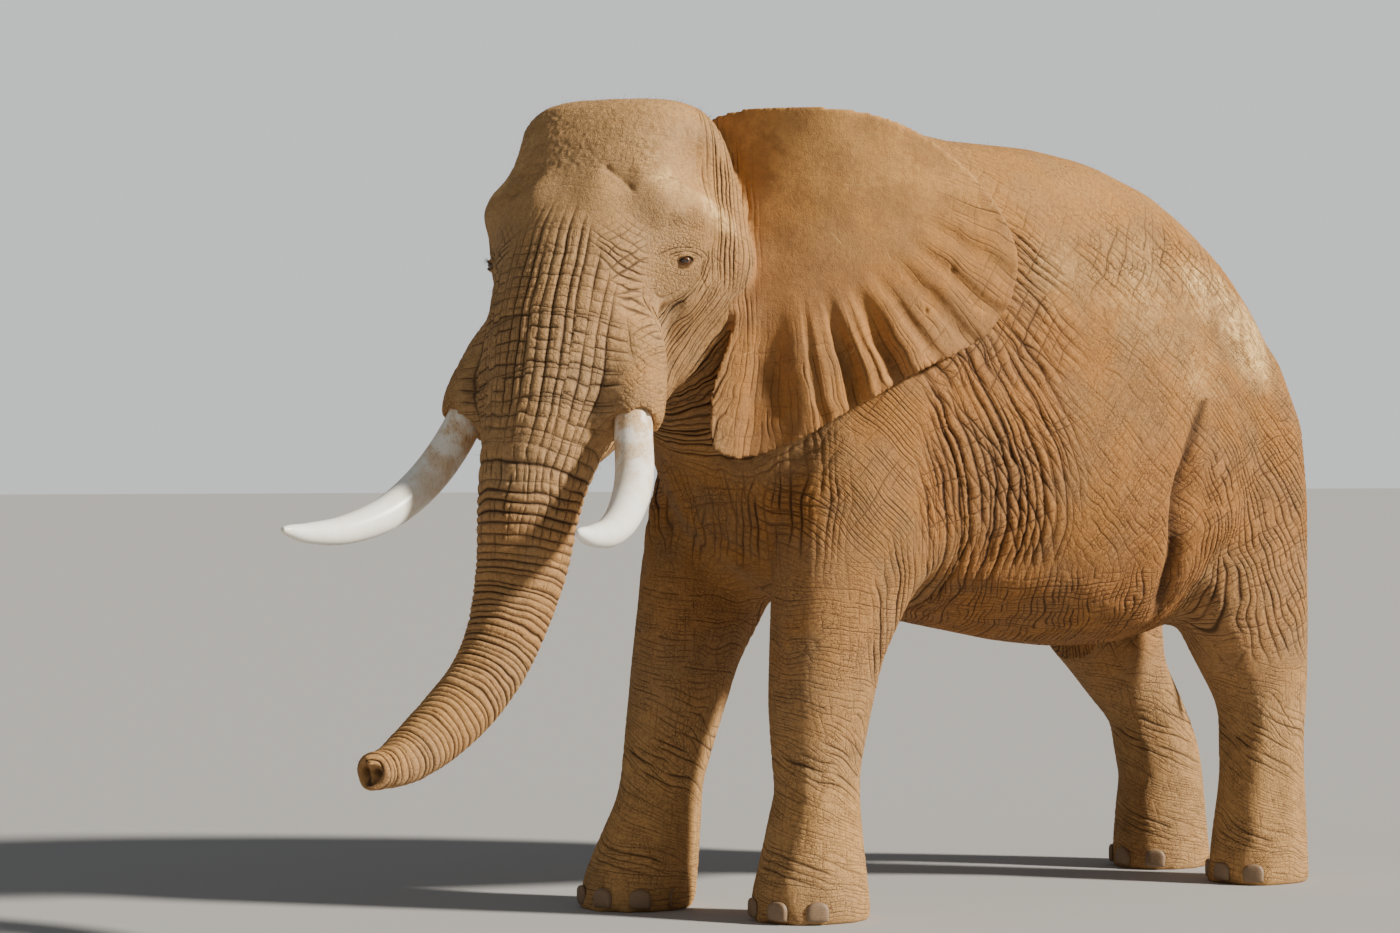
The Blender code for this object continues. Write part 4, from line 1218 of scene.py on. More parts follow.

# %% [markdown]
# The groin is the deepest fold of all: the hide of the flank hangs over the front of the
# thigh. It is cut as a groove along a line, and the crack between the cheek and the base
# of the trunk is cut the same way, as are a strip of cheek behind the base of the trunk and
# a dent in the forehead. All four are also darkened as painted shade.

# %% Cut the groin and the cheek
GROIN_LINE = [(1.50, 2.10, 0.000), (1.40, 1.94, 0.016), (1.345, 1.80, 0.036),
              (1.312, 1.66, 0.056), (1.325, 1.50, 0.060), (1.345, 1.38, 0.056),
              (1.375, 1.24, 0.044), (1.46, 1.13, 0.020)]
GROIN_WIDTH = 0.044
CHEEK_LINE = [(0.338, 0.285, 2.31), (0.365, 0.325, 2.19), (0.392, 0.370, 2.06),
              (0.365, 0.355, 1.97)]
CHEEK_WIDTH = 0.018
CHEEK_DEPTH = 0.026
SHELTERED_LINE = [(0.357, 0.256, 2.33), (0.331, 0.184, 2.197), (0.299, 0.090, 2.089),
                  (0.209, -0.049, 1.99)]
SHELTERED_WIDTH = 0.056
SHELTERED_DEPTH = 0.014
DENT_LINE = [(0.134, 0.356, 2.834), (0.195, 0.362, 2.792), (0.247, 0.365, 2.741)]
DENT_WIDTH = 0.013
DENT_DEPTH = 0.009


def line_groove(places, corners, width):
    """1 on a line through the corners, falling to 0 beside it; and the way along it."""
    line = open_curve(corners, 6)
    found = along_route(places, line, np.ones(len(line)))
    away = np.linalg.norm(found[1], axis=1) / width
    return np.exp(-away**1.6), found[0]


def cut_line(places, nearby, corners, width):
    """The groove of a line at the nearby places only."""
    cut = np.zeros(len(places))
    cut[nearby] = line_groove(places[nearby], corners, width)[0]
    return cut


side_view = np.stack([y, z, np.zeros(len(y))], axis=1)
groin_near = (np.abs(y - 1.38) < 0.3) & (np.abs(z - 1.62) < 0.6) & (beside > 0.34)
groin_cut = cut_line(side_view, groin_near, [(a, b, 0.0) for a, b, _ in GROIN_LINE], GROIN_WIDTH)
groin_depth = np.interp(-z, [-b for _, b, _ in GROIN_LINE], [c for _, _, c in GROIN_LINE])
cheek_near = (ahead > -0.15) & (height > 1.85) & (height < 2.5)
cheek_view = np.stack([np.abs(side), ahead, height], axis=1)
cheek_places = cheek_view[cheek_near]
cheek_line = [cheek_places[np.argmin(reach_from(cheek_places, corner))] for corner in CHEEK_LINE]
cheek_view += 0.006 * np.stack([warp_fine, warp_cross, warp_small], axis=1)
cheek_cut = cut_line(cheek_view, cheek_near, cheek_line, CHEEK_WIDTH)
# A strip of cheek behind the base of the trunk is sunk a little and later darkened as painted
# shade.
sheath_groove_and_shade = cut_line(cheek_view, cheek_near, SHELTERED_LINE, SHELTERED_WIDTH)
dent_near = (ahead > 0.15) & (height > 2.6)
dent_cut = cut_line(cheek_view, dent_near, DENT_LINE, DENT_WIDTH)
line_depth = groin_cut * groin_depth * on_body + CHEEK_DEPTH * cheek_cut + DENT_DEPTH * dent_cut
line_depth += SHELTERED_DEPTH * sheath_groove_and_shade
print("groin is cut", round(float(groin_depth.max()) * 1000), "mm deep")

# %% [markdown]
# ## The hide of the legs
#
# The column of a leg is covered with a fine slanting net. At the wrist and above the foot
# the hide folds across, and behind the elbow it hangs in a few upright folds.

# %% Wrinkle the legs
LEG_ROUND = 0.19

arc = round_leg * LEG_ROUND
column = np.clip(on_leg - hind_top, 0.0, 1.0)
bent = bell(z, 0.52, 0.26)
level_leg = z + (0.08 + 0.50 * bent) * arc + 0.014 * warp_fine + 0.004 * warp_small
upright_leg = arc + 0.10 * z + 0.014 * warp_cross
net(column, level_leg / 0.0125, upright_leg / 0.0165, 0.80, 0.0014)
folds(column, level_leg, 0.0185, arc, 31, 0.055, 0.32, 0.0024, bold=0.50, line=0.0036)
folds(column, upright_leg, 0.030, z, 32, 0.060, 0.46, 0.0024, bold=0.36, line=0.0036)
wrist = np.clip(bell(z, 0.58, 0.16) + 0.8 * bell(z, 0.20, 0.09), 0.0, 1.0)
folds(on_leg * wrist, z + 0.35 * arc + 0.010 * warp_fine, 0.034, arc, 33, 0.12, 0.34, 0.0050)
knee = step_up(z, 0.84, 1.00) * step_down(z, 1.36, 1.56) * step_up(y, -0.16, -0.05)
knee *= step_down(y, 0.4, 0.6)
folds(np.clip(on_leg + on_body, 0.0, 1.0) * knee, y + 0.30 * z + 0.008 * warp_fine, 0.036, z, 34,
      0.22, 0.14, 0.0110, width=0.20)
print("leg cuts ready")

# %% [markdown]
# ## The trunk and the face
#
# The front of the face is quilted. Long ridges run down from the brow to below the tusks,
# and cracks cut them into puffy blocks. Beyond the quilt the cells slant into a lattice.
# Below the tusks the ridges die out and rings take over, wide at first and close near the
# tip.

# %% Wrinkle the trunk
RIDGES_ROUND = 38

trunk_length = length + 0.010 * warp_fine + 0.003 * warp_small
turns = round_trunk + 0.045 * warp_wide + 0.020 * warp_cross + 0.006 * warp_small
ring_steps = counted(trunk_length, 0.050, 0.0265, 1.20, 1.70)
ridge_steps = turns * RIDGES_ROUND / (2.0 * math.pi)
staggered = trunk_length / 0.044 + 0.45 * dice(np.floor(ridge_steps), 3, 0, 47)
quilted = step_down(length, 1.10, 1.38) * step_up(2.74 - height, 0.0, 0.22)
quilt_edge = 0.55 + 0.85 * step_up(2.75 - height, 0.05, 0.60)
quilted *= 1.0 - step_up(np.abs(round_trunk) / quilt_edge, 0.80, 1.20)
ringed = step_up(length, 0.98, 1.25)
quilt = on_trunk * quilted * (1.0 - 0.5 * ringed)
ring_part = on_trunk * ringed
upper_quilt = step_down(length, 0.45, 0.70)
folds(quilt, ridge_steps, 1.0, trunk_length, 42, 0.26, 0.10, 0.0088, width=0.17, line=0.085,
      bold=0.95)
folds(quilt, ridge_steps + 0.5, 1.0, trunk_length, 46, 0.07, 0.58, 0.0036, bold=0.5, line=0.06)
folds(quilt, staggered, 1.0, ridge_steps, 44, 1.3, 0.20, 0.0058, width=0.15, line=0.085,
      bold=0.92 - 0.40 * upper_quilt)
folds(quilt, trunk_length + 0.02 * turns, 0.150, turns, 43, 1.1, 0.20, 0.0060, width=0.07,
      bold=0.7 - 0.4 * upper_quilt)
net(quilt, ridge_steps * 2.0, trunk_length / 0.018, 0.60, 0.0014)
folds(ring_part, ring_steps, 1.0, turns, 41, 2.2, 0.02, 0.0085, width=0.20, line=0.11)
blocky = step_down(length, 1.35, 1.75)
folds(ring_part, turns * 7.0 + 0.7 * warp_fine, 1.0, trunk_length * 20.0, 45, 1.0, 0.34, 0.0060,
      bold=0.20 + 0.70 * blocky, line=0.07, width=0.14)
net(ring_part, ring_steps * 2.0, turns * 5.0, 0.35, 0.0010)
print("trunk cuts ready")

# %% [markdown]
# Over the eye a few creases arch with the lid. Behind and below it they spread like
# ripples, drawn out down the cheek to the corner of the jaw, and farther back they gather
# at the root of the ear. The crown has hardly a line, only pebbles.

# %% Wrinkle the sides of the head
EYE_HEIGHT = float(left_eye.z)

below_eye = np.clip(EYE_HEIGHT - height, 0.0, None)
drawn_out = 1.30 + 5.0 * below_eye
ripple = np.hypot(ahead - EYE_AHEAD - 0.02 - 0.26 * below_eye, (height - EYE_HEIGHT) / drawn_out)
ripple = ripple + 0.006 * warp_fine + 0.0025 * warp_small
bearing = np.arctan2(height - EYE_HEIGHT, ahead - EYE_AHEAD)
ripple_steps = counted(ripple, 0.0135, 0.0210, 0.05, 0.26)
crown = step_up(height, 2.70, 2.88) * step_up(ahead, -0.15, 0.05)
off_trunk = np.clip(on_head - quilt, 0.0, 1.0) * (1.0 - ring_part)
in_lattice = step_up(ahead, 0.33, 0.43) * step_down(height, 2.48, 2.70)
forehead = step_up(height, 2.55, 2.75) * step_up(ahead, 0.10, 0.25)
cheek = off_trunk * (1.0 - in_lattice) * (1.0 - forehead)
at_root = step_up(root_behind, -0.24, -0.10) * step_up(height, 2.30, 2.50)
outside = np.abs(side)
slant_a = 0.62 * outside + 0.78 * height + 0.010 * warp_fine
slant_b = 0.70 * outside - 0.72 * height + 0.010 * warp_cross
lattice = off_trunk * in_lattice
sheath = step_down(height, 2.06, 2.26)
shallower = 0.85 - 0.60 * sheath
folds(lattice, slant_a + 0.006 * warp_small, 0.025, slant_b, 52, 0.060, 0.18, 0.0042,
      bold=shallower, line=0.0042)
folds(lattice, slant_b + 0.006 * warp_small, 0.028, slant_a, 53, 0.060, 0.24, 0.0038,
      bold=0.9 * shallower, line=0.0042)
net(lattice, slant_a / 0.015, slant_b / 0.018, 0.55 + 0.25 * sheath, 0.0012)
off_crown = step_down(height, 2.66, 2.80)
behind_eye = EYE_AHEAD - ahead
to_rear = step_up(behind_eye, -0.01, 0.08) * step_down(height - EYE_HEIGHT, 0.01, 0.09)
far_out = step_up(ripple, 0.050, 0.090) * np.maximum(to_rear, step_up(below_eye, 0.07, 0.16))
ripples = cheek * (1.0 - at_root) * off_crown
folds(ripples, ripple_steps + 0.25 * warp_small, 1.0, bearing + height * 3.0, 51, 0.36, 0.24,
      0.0090, width=0.20, bold=far_out, line=0.18)
folds(ripples, bearing * 5.0 + height * 14.0 + 0.5 * warp_small, 1.0, ripple, 55, 0.04, 0.42,
      0.0020, bold=0.6 * far_out, line=0.08)
net(cheek * off_crown, ripple_steps * 1.5, bearing * 8.0, 0.30 + 0.25 * far_out, 0.0008)
print("cheek cuts ready")

# %% Wrinkle the lids, the ear's root and the brow
lid_ring = np.hypot((ahead - EYE_AHEAD - 0.010) / 1.75, height - EYE_HEIGHT + 0.006)
lid_ring += 0.0022 * warp_small
round_lid = on_head * step_down(lid_ring, 0.046, 0.070)
over_eye = 0.16 + 0.84 * step_up(height - EYE_HEIGHT, 0.004, 0.020)
folds(round_lid, lid_ring, 0.0135, bearing, 59, 0.70, 0.20, 0.0056, bold=over_eye,
      width=0.22, line=0.0030)
near_eye = on_head * step_down(ripple, 0.11, 0.17) * (1.0 - far_out)
net(near_eye, (ahead + 0.3 * height) / 0.0125, (height - 0.3 * ahead) / 0.0150, 0.80, 0.0022)
root_way = root_behind + 0.014 * warp_wide + 0.008 * warp_cross + 0.003 * warp_small
root_line = on_head * at_root
folds(root_line, root_way, 0.0190, height, 56, 0.16, 0.24, 0.0075, width=0.22, line=0.0034)
folds(root_line, height + 0.5 * root_way, 0.030, root_way, 58, 0.03, 0.45, 0.0020, bold=0.5)
folds(off_trunk * forehead, height + 0.15 * outside, 0.036, outside, 57, 0.06, 0.55, 0.0014,
      bold=0.22)
net(off_trunk * forehead, height / 0.020, outside / 0.022, 0.30, 0.0005)
pebbles = wander(points, 0.014, 54)
print("face cuts ready")

# %% [markdown]
# ## The hide of the ears
#
# The ear's hide is thin and almost smooth. Its root is gathered in close folds. The lower
# part hangs in deep pleats that spread from the top of the root like a fan, and towards
# the rear rim they flatten into shallow waves. The sheet moves as a whole, so that the
# inner side follows the outer. Thorns have left small nicks and holes behind the pleats.

# %% Pleat the ears
FAN_TOP = (0.12, 2.95)
PLEATS = [
    # angle from straight down, half-width, depth
    (-0.03, 0.085, 0.036), (0.155, 0.020, 0.014), (0.300, 0.036, 0.040), (0.395, 0.018, 0.008),
    (0.488, 0.044, 0.038), (0.640, 0.026, 0.010), (0.790, 0.034, 0.013), (0.930, 0.030, 0.009),
    (1.080, 0.036, 0.009), (1.240, 0.036, 0.005),
]
NICKS = [
    # behind the root, height, size
    (0.80, 2.479, 0.011), (0.69, 2.317, 0.008), (0.39, 2.187, 0.010), (0.55, 2.133, 0.009),
]

fan = np.arctan2(ear_behind - FAN_TOP[0], FAN_TOP[1] - points[:, 2]) + 0.012 * warp_fine
fan += 0.004 * warp_small
fan_reach = np.hypot(ear_behind - FAN_TOP[0], FAN_TOP[1] - points[:, 2])
ear_wave = np.zeros(len(points))
pleat_shade = np.zeros(len(points))
out_there = step_up(fan_reach, 0.56, 0.88)
for angle, half_width, pleat in PLEATS:
    valley = np.exp(-np.abs((fan - angle) / half_width)**3.4)
    ear_wave -= pleat * valley
    ear_wave += 0.40 * pleat * bell(fan - angle, 2.0 * half_width, half_width)
    pleat_shade = np.maximum(pleat_shade, valley * min(1.0, pleat / 0.035))
ear_wave *= out_there
pleat_shade *= out_there * step_up(fan_reach, 0.62, 0.92)
ear_wave += 0.006 * warp_wide + 0.0025 * warp_fine + 0.0018 * warp_small * out_there
for behind, tall, size in NICKS:
    spot = np.exp(-((ear_behind - behind)**2 + ((points[:, 2] - tall) * 0.6)**2) / size**2)
    ear_wave -= 0.010 * spot
    pleat_shade = np.maximum(pleat_shade, spot)
folds(on_ear * out_there, fan + 0.014 * warp_cross, 0.024, fan_reach, 62, 0.10, 0.50, 0.0024,
      bold=0.60, width=0.14, line=0.0026)
folds(on_ear * out_there, fan_reach + 0.06 * fan + 0.02 * warp_fine, 0.050, fan, 64, 0.07, 0.55,
      0.0020, bold=0.40, width=0.12, line=0.0030)
net(on_ear, fan / 0.020, fan_reach / 0.026, 0.25 * out_there + 0.06, 0.0006)
root_folds = step_down(ear_behind, 0.00, 0.09) * step_up(points[:, 2], 2.05, 2.40)
root_folds *= step_down(points[:, 2], 2.86, 2.99)
folds(on_ear * root_folds, root_way, 0.0190, height, 56, 0.16, 0.24, 0.0050, width=0.22,
      line=0.0034, bold=0.8)
print("ear pleats:", len(PLEATS))

# %% Put all the creases together
LID_HALF_WIDTH = 0.042
LID_HALF_HEIGHT = 0.0225
NET_WIDTH = 0.16

near_lid = np.minimum(reach_from(points, left_eye), reach_from(points, right_eye))
lid_gap = np.full(len(points), 1.0)
lid_round = np.full(len(points), 9.0)
for middle, gaze in ((left_eye, left_gaze), (right_eye, right_gaze)):
    away = points - np.array(middle)
    outward, along, upward = (away @ np.array(direction) for direction in gaze)
    gap = opening_distance(along, upward)
    close = np.linalg.norm(away, axis=1) < 0.08
    lid_gap = np.where(close, np.minimum(lid_gap, gap), lid_gap)
    almond = np.hypot(along / LID_HALF_WIDTH, (upward + OPENING_TILT * along) / LID_HALF_HEIGHT)
    lid_round = np.where(close, np.minimum(lid_round, almond), lid_round)
calm = step_up(near_lid, 0.030, 0.044)
sole = step_up(points[:, 2], 0.004, 0.030)
quiet_places = calm * sole
depth = line_depth - 0.0016 * pebbles * crown * on_head
# From here on the darkness is painted shade. It darkens the groin, the crack by the cheek, the
# strip behind the trunk's base, the dent in the forehead, every cut, the valleys and nicks of the
# ear's pleats, the nostrils and a ring round each eye opening.
painted_shade = np.clip(groin_cut * on_body * (groin_depth > 0.01) + 0.9 * cheek_cut, 0.0, 1.0)
painted_shade = np.maximum(painted_shade, np.maximum(0.55 * sheath_groove_and_shade, 0.65 * dent_cut))
for share, across, along, bold, deepest, loose in NETS:
    there = np.flatnonzero(bold > 0.02)
    away = crack_distance(np.stack([across[there], along[there]], axis=1), loose)
    depth[there] += deepest * bold[there] * np.exp(-(away / NET_WIDTH)**1.3)
for share, steps, strength, deepest, width, line in FOLDS:
    cut = strength * groove(steps, width)
    depth += deepest * cut
    painted_shade = np.maximum(painted_shade, cut * min(1.0, deepest / 0.012))
painted_shade = np.maximum(painted_shade, 0.62 * pleat_shade * on_ear)
painted_shade = np.maximum(painted_shade, nostril_shade)
painted_shade = np.maximum(painted_shade, 1.0 - step_up(lid_round, 0.62, 1.12))
depth = depth * quiet_places
points = points + ear_out * (ear_wave * on_ear)[:, None] * calm[:, None]
normals = normals_of(points, triangles)
points = points - normals * depth[:, None]
points[:, 2] = np.maximum(points[:, 2], 0.0)
print("hide wrinkled; deepest", round(float(depth.max()) * 1000, 1), "mm")

# %% [markdown]
# ## The finish of the hide
#
# The hide itself is grey, but this animal has rolled in red earth and the dust has dried on
# it. So the colour is mostly the colour of the ground: tan where the dust lies thick, red
# where it is damp in folds and on the legs, nearly white where bones push the hide up and
# it is rubbed. Creases, cracks, the groin, the nostrils and the rims of the eyes are
# darkened as painted shade. An ash coat, partly the greyer hide of the trunk, face and
# legs, also lightens them as painted light. Those things are worked out for each point and
# kept with the mesh, and the material mixes its colours by them.

# %% Work out dust, clay and rubbed places
def glow(place, reach):
    """1 at a place, fading to 0 at its reach."""
    return np.clip(1.0 - (reach_from(points, place) / reach)**2, 0.0, 1.0)**1.5


RUBBED_HEAD = [
    # side, ahead, height, reach, amount
    (0.412, 0.207, 2.724, 0.070, 0.65), (0.440, 0.140, 2.690, 0.080, 0.95),
    (0.465, 0.080, 2.650, 0.075, 1.00), (0.480, 0.000, 2.610, 0.060, 0.65),
    (0.360, 0.300, 2.790, 0.095, 0.60), (0.300, 0.320, 2.880, 0.085, 0.50),
    (0.260, 0.300, 2.960, 0.085, 0.35), (0.390, 0.330, 2.440, 0.070, 0.16),
]
RUBBED_BODY = [
    # beside the middle, along, height, reach, amount
    (0.60, 1.50, 2.44, 0.20, 0.55), (0.60, 1.83, 2.26, 0.27, 1.00),
    (0.58, 1.70, 2.44, 0.17, 0.75), (0.64, 1.15, 2.40, 0.34, 0.30),
    (0.66, 1.40, 2.10, 0.24, 0.25), (0.60, 0.75, 2.45, 0.24, 0.25),
]

rubbed = np.zeros(len(points))
for sign in (1.0, -1.0):
    rubbed_places = [(in_head(sign * a, b, c), reach, amount)
                     for a, b, c, reach, amount in RUBBED_HEAD]
    rubbed_places += [((BODY_MIDDLE + sign * a, b, c), reach, amount)
                      for a, b, c, reach, amount in RUBBED_BODY]
    for middle, reach, amount in rubbed_places:
        rubbed = np.maximum(rubbed, amount * glow(middle, reach))
rubbed = (rubbed * (1.0 + 0.55 * warp_fine + 0.35 * warp_small)).clip(0.0, 1.0)
settled = step_up(normals[:, 2], 0.10, 0.95) * (0.65 + 0.35 * warp_wide) * (1.0 + 0.3 * crown)
ear_dust = on_ear * step_up(points[:, 2], 2.40, 2.90) * (0.95 + 0.50 * warp_wide + 0.25 * warp_fine)
mud_dry = on_leg * step_down(points[:, 2], 0.45, 1.05) * (0.60 + 0.40 * warp_wide)
settled = np.clip(np.maximum(settled, np.maximum(ear_dust, mud_dry)), 0.0, 1.0)
root_red = 0.35 * on_ear * step_down(ear_behind, 0.04, 0.28)
clay = np.clip(0.25 * step_down(points[:, 2], 0.9, 1.6) * on_leg * step_up(z, 0.7, 1.0)
               + 0.9 * bell(groin_reach, 0.0, 0.45) * on_body
               + 0.20 * belly * on_body + root_red + 0.5 * elbow * on_body
               + 0.16 + 0.40 * warp_wide + 0.25 * warp_fine, 0.0, 1.0)
# The ash coat is partly the greyer hide of the trunk, face and legs. It is partly painted light
# that lightens the trunk and the face, which the lamp reaches less. On the legs it grows towards
# the floor.
near_floor = step_down(points[:, 2], 0.45, 1.20)
ash_and_painted_light = np.clip(0.65 * on_trunk + 0.60 * on_head + (0.40 + 0.55 * near_floor) * on_leg
                + 0.12 * on_ear + 0.12 * warp_wide, 0.0, 1.0)
print("rubbed:", round(float(rubbed.mean()), 3), "clay:", round(float(clay.mean()), 3))

# %% [markdown]
# The thinnest lines are narrower than the faces of the mesh, so the material draws them.
# It needs the numbers of the net at each corner of each face. Every face takes the net
# that is strongest there and the one that comes second, so that one net can fade into the
# other. The cuts are passed on in the same way.

# %% Hand the nets to the material
def strongest(shares, triangles, count):
    """For each face, which of the shares are the largest, in order."""
    of_faces = np.stack([share.astype(np.float32)[triangles].mean(axis=1) for share in shares])
    return np.argsort(-of_faces, axis=0)[:count]


def picked(values, chosen, triangles):
    """The chosen entry's numbers at the corners of each face."""
    found = np.empty((*triangles.shape, 3), np.float32)
    for entry, columns in enumerate(values):
        faces = np.flatnonzero(chosen == entry)
        for place, column in enumerate(columns):
            found[faces, :, place] = column.astype(np.float32)[triangles[faces]]
    return found


CUT_LAYERS = 5

net_order = strongest([entry[0] for entry in NETS], triangles, 2)
net_values = [(across, along, bold * quiet_places) for _, across, along, bold, _, _ in NETS]
looseness = np.array([entry[5] for entry in NETS], np.float32)
first_net, second_net = (picked(net_values, chosen, triangles) for chosen in net_order)
fold_order = strongest([entry[2] + 0.5 * entry[0] for entry in FOLDS], triangles, CUT_LAYERS)
fold_values = []
for _, steps, strength, _, _, line in FOLDS:
    own_line = line * (0.45 + 0.65 * strength)
    fold_values.append((steps, own_line, strength * quiet_places))
fold_layers = [picked(fold_values, chosen, triangles) for chosen in fold_order]
NETS.clear()
FOLDS.clear()
del net_values, fold_values
print("faces with a bold net:", int((first_net[:, 0, 2] > 0.5).sum()))

# %% Build the hide as one mesh
def filled_mesh(name, points, triangles, flat):
    """A mesh from arrays, with its flat pattern."""
    mesh = bpy.data.meshes.new(name)
    mesh.vertices.add(len(points))
    mesh.vertices.foreach_set("co", points.astype(np.float32).ravel())
    mesh.loops.add(triangles.size)
    mesh.loops.foreach_set("vertex_index", triangles.astype(np.int32).ravel())
    mesh.polygons.add(len(triangles))
    mesh.polygons.foreach_set("loop_start", np.arange(0, triangles.size, 3, dtype=np.int32))
    mesh.update(calc_edges=True)
    layer = mesh.uv_layers.new(name="OFBake")
    layer.data.foreach_set("uv", flat.astype(np.float32).ravel())
    mesh.shade_smooth()
    return mesh


def keep_values(mesh, name, values, kind="FLOAT", where="POINT"):
    """Keeps numbers with the points, the corners or the faces of a mesh."""
    layer = mesh.attributes.new(name, kind, where)
    layer.data.foreach_set("vector" if kind == "FLOAT_VECTOR" else "value",
                           values.astype(np.float32).ravel())


hide_mesh = filled_mesh("hide", points, triangles, flat)
# The first of these numbers is painted shade, and the last is ash that also paints light.
for name, values in (("painted_hollow_shade", painted_shade), ("rubbed", rubbed), ("clay", clay), ("ear", on_ear),
                     ("settled", settled), ("ash_and_painted_light", ash_and_painted_light)):
    keep_values(hide_mesh, name, values)
for name, values in (("first_net", first_net), ("second_net", second_net)):
    keep_values(hide_mesh, name, values, "FLOAT_VECTOR", "CORNER")
for number, values in enumerate(fold_layers):
    keep_values(hide_mesh, "cut_%d" % number, values, "FLOAT_VECTOR", "CORNER")
for name, chosen in (("first_loose", net_order[0]), ("second_loose", net_order[1])):
    keep_values(hide_mesh, name, looseness[chosen], "FLOAT", "FACE")
del first_net, second_net, fold_layers
hide = object_from("hide", hide_mesh)
print("hide:", len(hide_mesh.vertices), "vertices,", len(hide_mesh.polygons), "faces")

# %% [markdown]
# Materials are trees of small steps. A few helpers keep each tree readable: one for a
# kept number, one for noise, one that stretches a range, one that blends two colours, two
# for sums and products, and one that turns a height into bumps. All of them add to the
# material that was opened last, whose nodes and links have plain names here.

# %% Write helpers for materials
def open_finish(name):
    """A fresh material; the helpers below add to the one that was opened last."""
    global nodes, links, shader, place
    finish = bpy.data.materials.new(name)
    finish.use_nodes = True
    nodes, links = finish.node_tree.nodes, finish.node_tree.links
    shader = nodes["Principled BSDF"]
    place = nodes.new("ShaderNodeTexCoord").outputs["Object"]
    return finish


def set_or_link(socket, value):
    """Gives a socket a number, a colour or the result of another step."""
    if isinstance(value, tuple):
        socket.default_value = (*value, 1.0)
    elif isinstance(value, (int, float)):
        socket.default_value = value
    else:
        links.new(value, socket)


def attribute(name, kind="Fac"):
    """A number or a vector kept with the mesh."""
    made = nodes.new("ShaderNodeAttribute")
    made.attribute_name = name
    return made.outputs[kind]


def noise_of(size, detail=4.0, rough=0.55, at=None):
    """Noise with bumps of the given size."""
    made = nodes.new("ShaderNodeTexNoise")
    made.inputs["Scale"].default_value = 1.0 / size
    made.inputs["Detail"].default_value = detail
    made.inputs["Roughness"].default_value = rough
    links.new(place if at is None else at, made.inputs["Vector"])
    return made.outputs["Fac"]


def ranged(value, low, high, to_low=0.0, to_high=1.0):
    """The value's range from low to high, stretched smoothly to a new range."""
    made = nodes.new("ShaderNodeMapRange")
    made.interpolation_type = "SMOOTHSTEP"
    for socket, number in (("From Min", low), ("From Max", high), ("To Min", to_low),
                           ("To Max", to_high), ("Value", value)):
        set_or_link(made.inputs[socket], number)
    return made.outputs["Result"]


def mixed(amount, first, second):
    """A blend of two colours."""
    made = nodes.new("ShaderNodeMix")
    made.data_type = "RGBA"
    for socket, value in ((made.inputs["Factor"], amount), (made.inputs[6], first),
                          (made.inputs[7], second)):
        set_or_link(socket, value)
    return made.outputs[2]


def figured(kind, first, second):
    """A sum of two values."""
    made = nodes.new("ShaderNodeMath")
    made.operation = kind
    for socket, value in zip(made.inputs, (first, second)):
        set_or_link(socket, value)
    return made.outputs[0]


def times(first, second):
    """The product of two values."""
    return figured("MULTIPLY", first, second)


def bumped(height, distance, strength=1.0, under=None):
    """The direction of the surface, tilted by a height."""
    made = nodes.new("ShaderNodeBump")
    made.inputs["Distance"].default_value = distance
    made.inputs["Strength"].default_value = strength
    links.new(height, made.inputs["Height"])
    if under is not None:
        links.new(under, made.inputs["Normal"])
    return made.outputs["Normal"]


print("material helpers ready")

# %% Write the two line patterns of the material
def crack_pattern(name):
    """Distance from the cracks of a kept net, and how bold it is there."""
    parts = nodes.new("ShaderNodeSeparateXYZ")
    kept = attribute(name + "_net", "Vector")
    links.new(kept, parts.inputs[0])
    made = nodes.new("ShaderNodeTexVoronoi")
    made.voronoi_dimensions = "2D"
    made.feature = "DISTANCE_TO_EDGE"
    made.inputs["Scale"].default_value = 1.0
    links.new(attribute(name + "_loose"), made.inputs["Randomness"])
    links.new(kept, made.inputs["Vector"])
    return made.outputs["Distance"], parts.outputs[2]


def cut_lines(name):
    """Two lines from a kept family of cuts, a sharp one and the wide groove round it, for bumps and
    painted shade.
    """
    parts = nodes.new("ShaderNodeSeparateXYZ")
    links.new(attribute(name, "Vector"), parts.inputs[0])
    saw = figured("FRACT", figured("ADD", parts.outputs[0], 0.5), 0.0)
    away = figured("ABSOLUTE", figured("SUBTRACT", saw, 0.5), 0.0)
    sharp = ranged(figured("DIVIDE", away, parts.outputs[1]), 0.25, 1.0, 1.0, 0.0)
    hollow_round = ranged(away, 0.04, 0.34, 1.0, 0.0)
    return times(sharp, parts.outputs[2]), times(hollow_round, parts.outputs[2])


def drawn(pattern, narrow, wide):
    """A line: 1 in the middle of a crack and 0 beyond its width, times its boldness."""
    return times(ranged(pattern[0], narrow, wide, 1.0, 0.0), pattern[1])


def strongest_line(lines):
    """The strongest of several lines at each place."""
    result = lines[0]
    for line in lines[1:]:
        result = figured("MAXIMUM", result, line)
    return result


print("line patterns ready")

# %% [markdown]
# Over the dust lie thin coats, from the widest to the finest: grey hide that shows through,
# red clay, ash that also lightens the trunk, face and legs as painted light, pale dust on
# raised places, scratches, rubbed bone, stains and pores. The painted shade in the hollows,
# the cracks and the cuts comes last, so nothing covers it.

# %% Mix the hide's lines and noises
DUST = (0.365, 0.156, 0.035)
GREY_HIDE = (0.275, 0.142, 0.054)
DUST_PALE = (0.65, 0.340, 0.100)
RED_EARTH = (0.42, 0.170, 0.050)
RUBBED = (0.98, 0.64, 0.26)
ASH_AND_LIGHT = (0.49, 0.320, 0.160)
PAINTED_SHADE_BROWN = (0.036, 0.016, 0.007)
STAIN = (0.240, 0.112, 0.040)

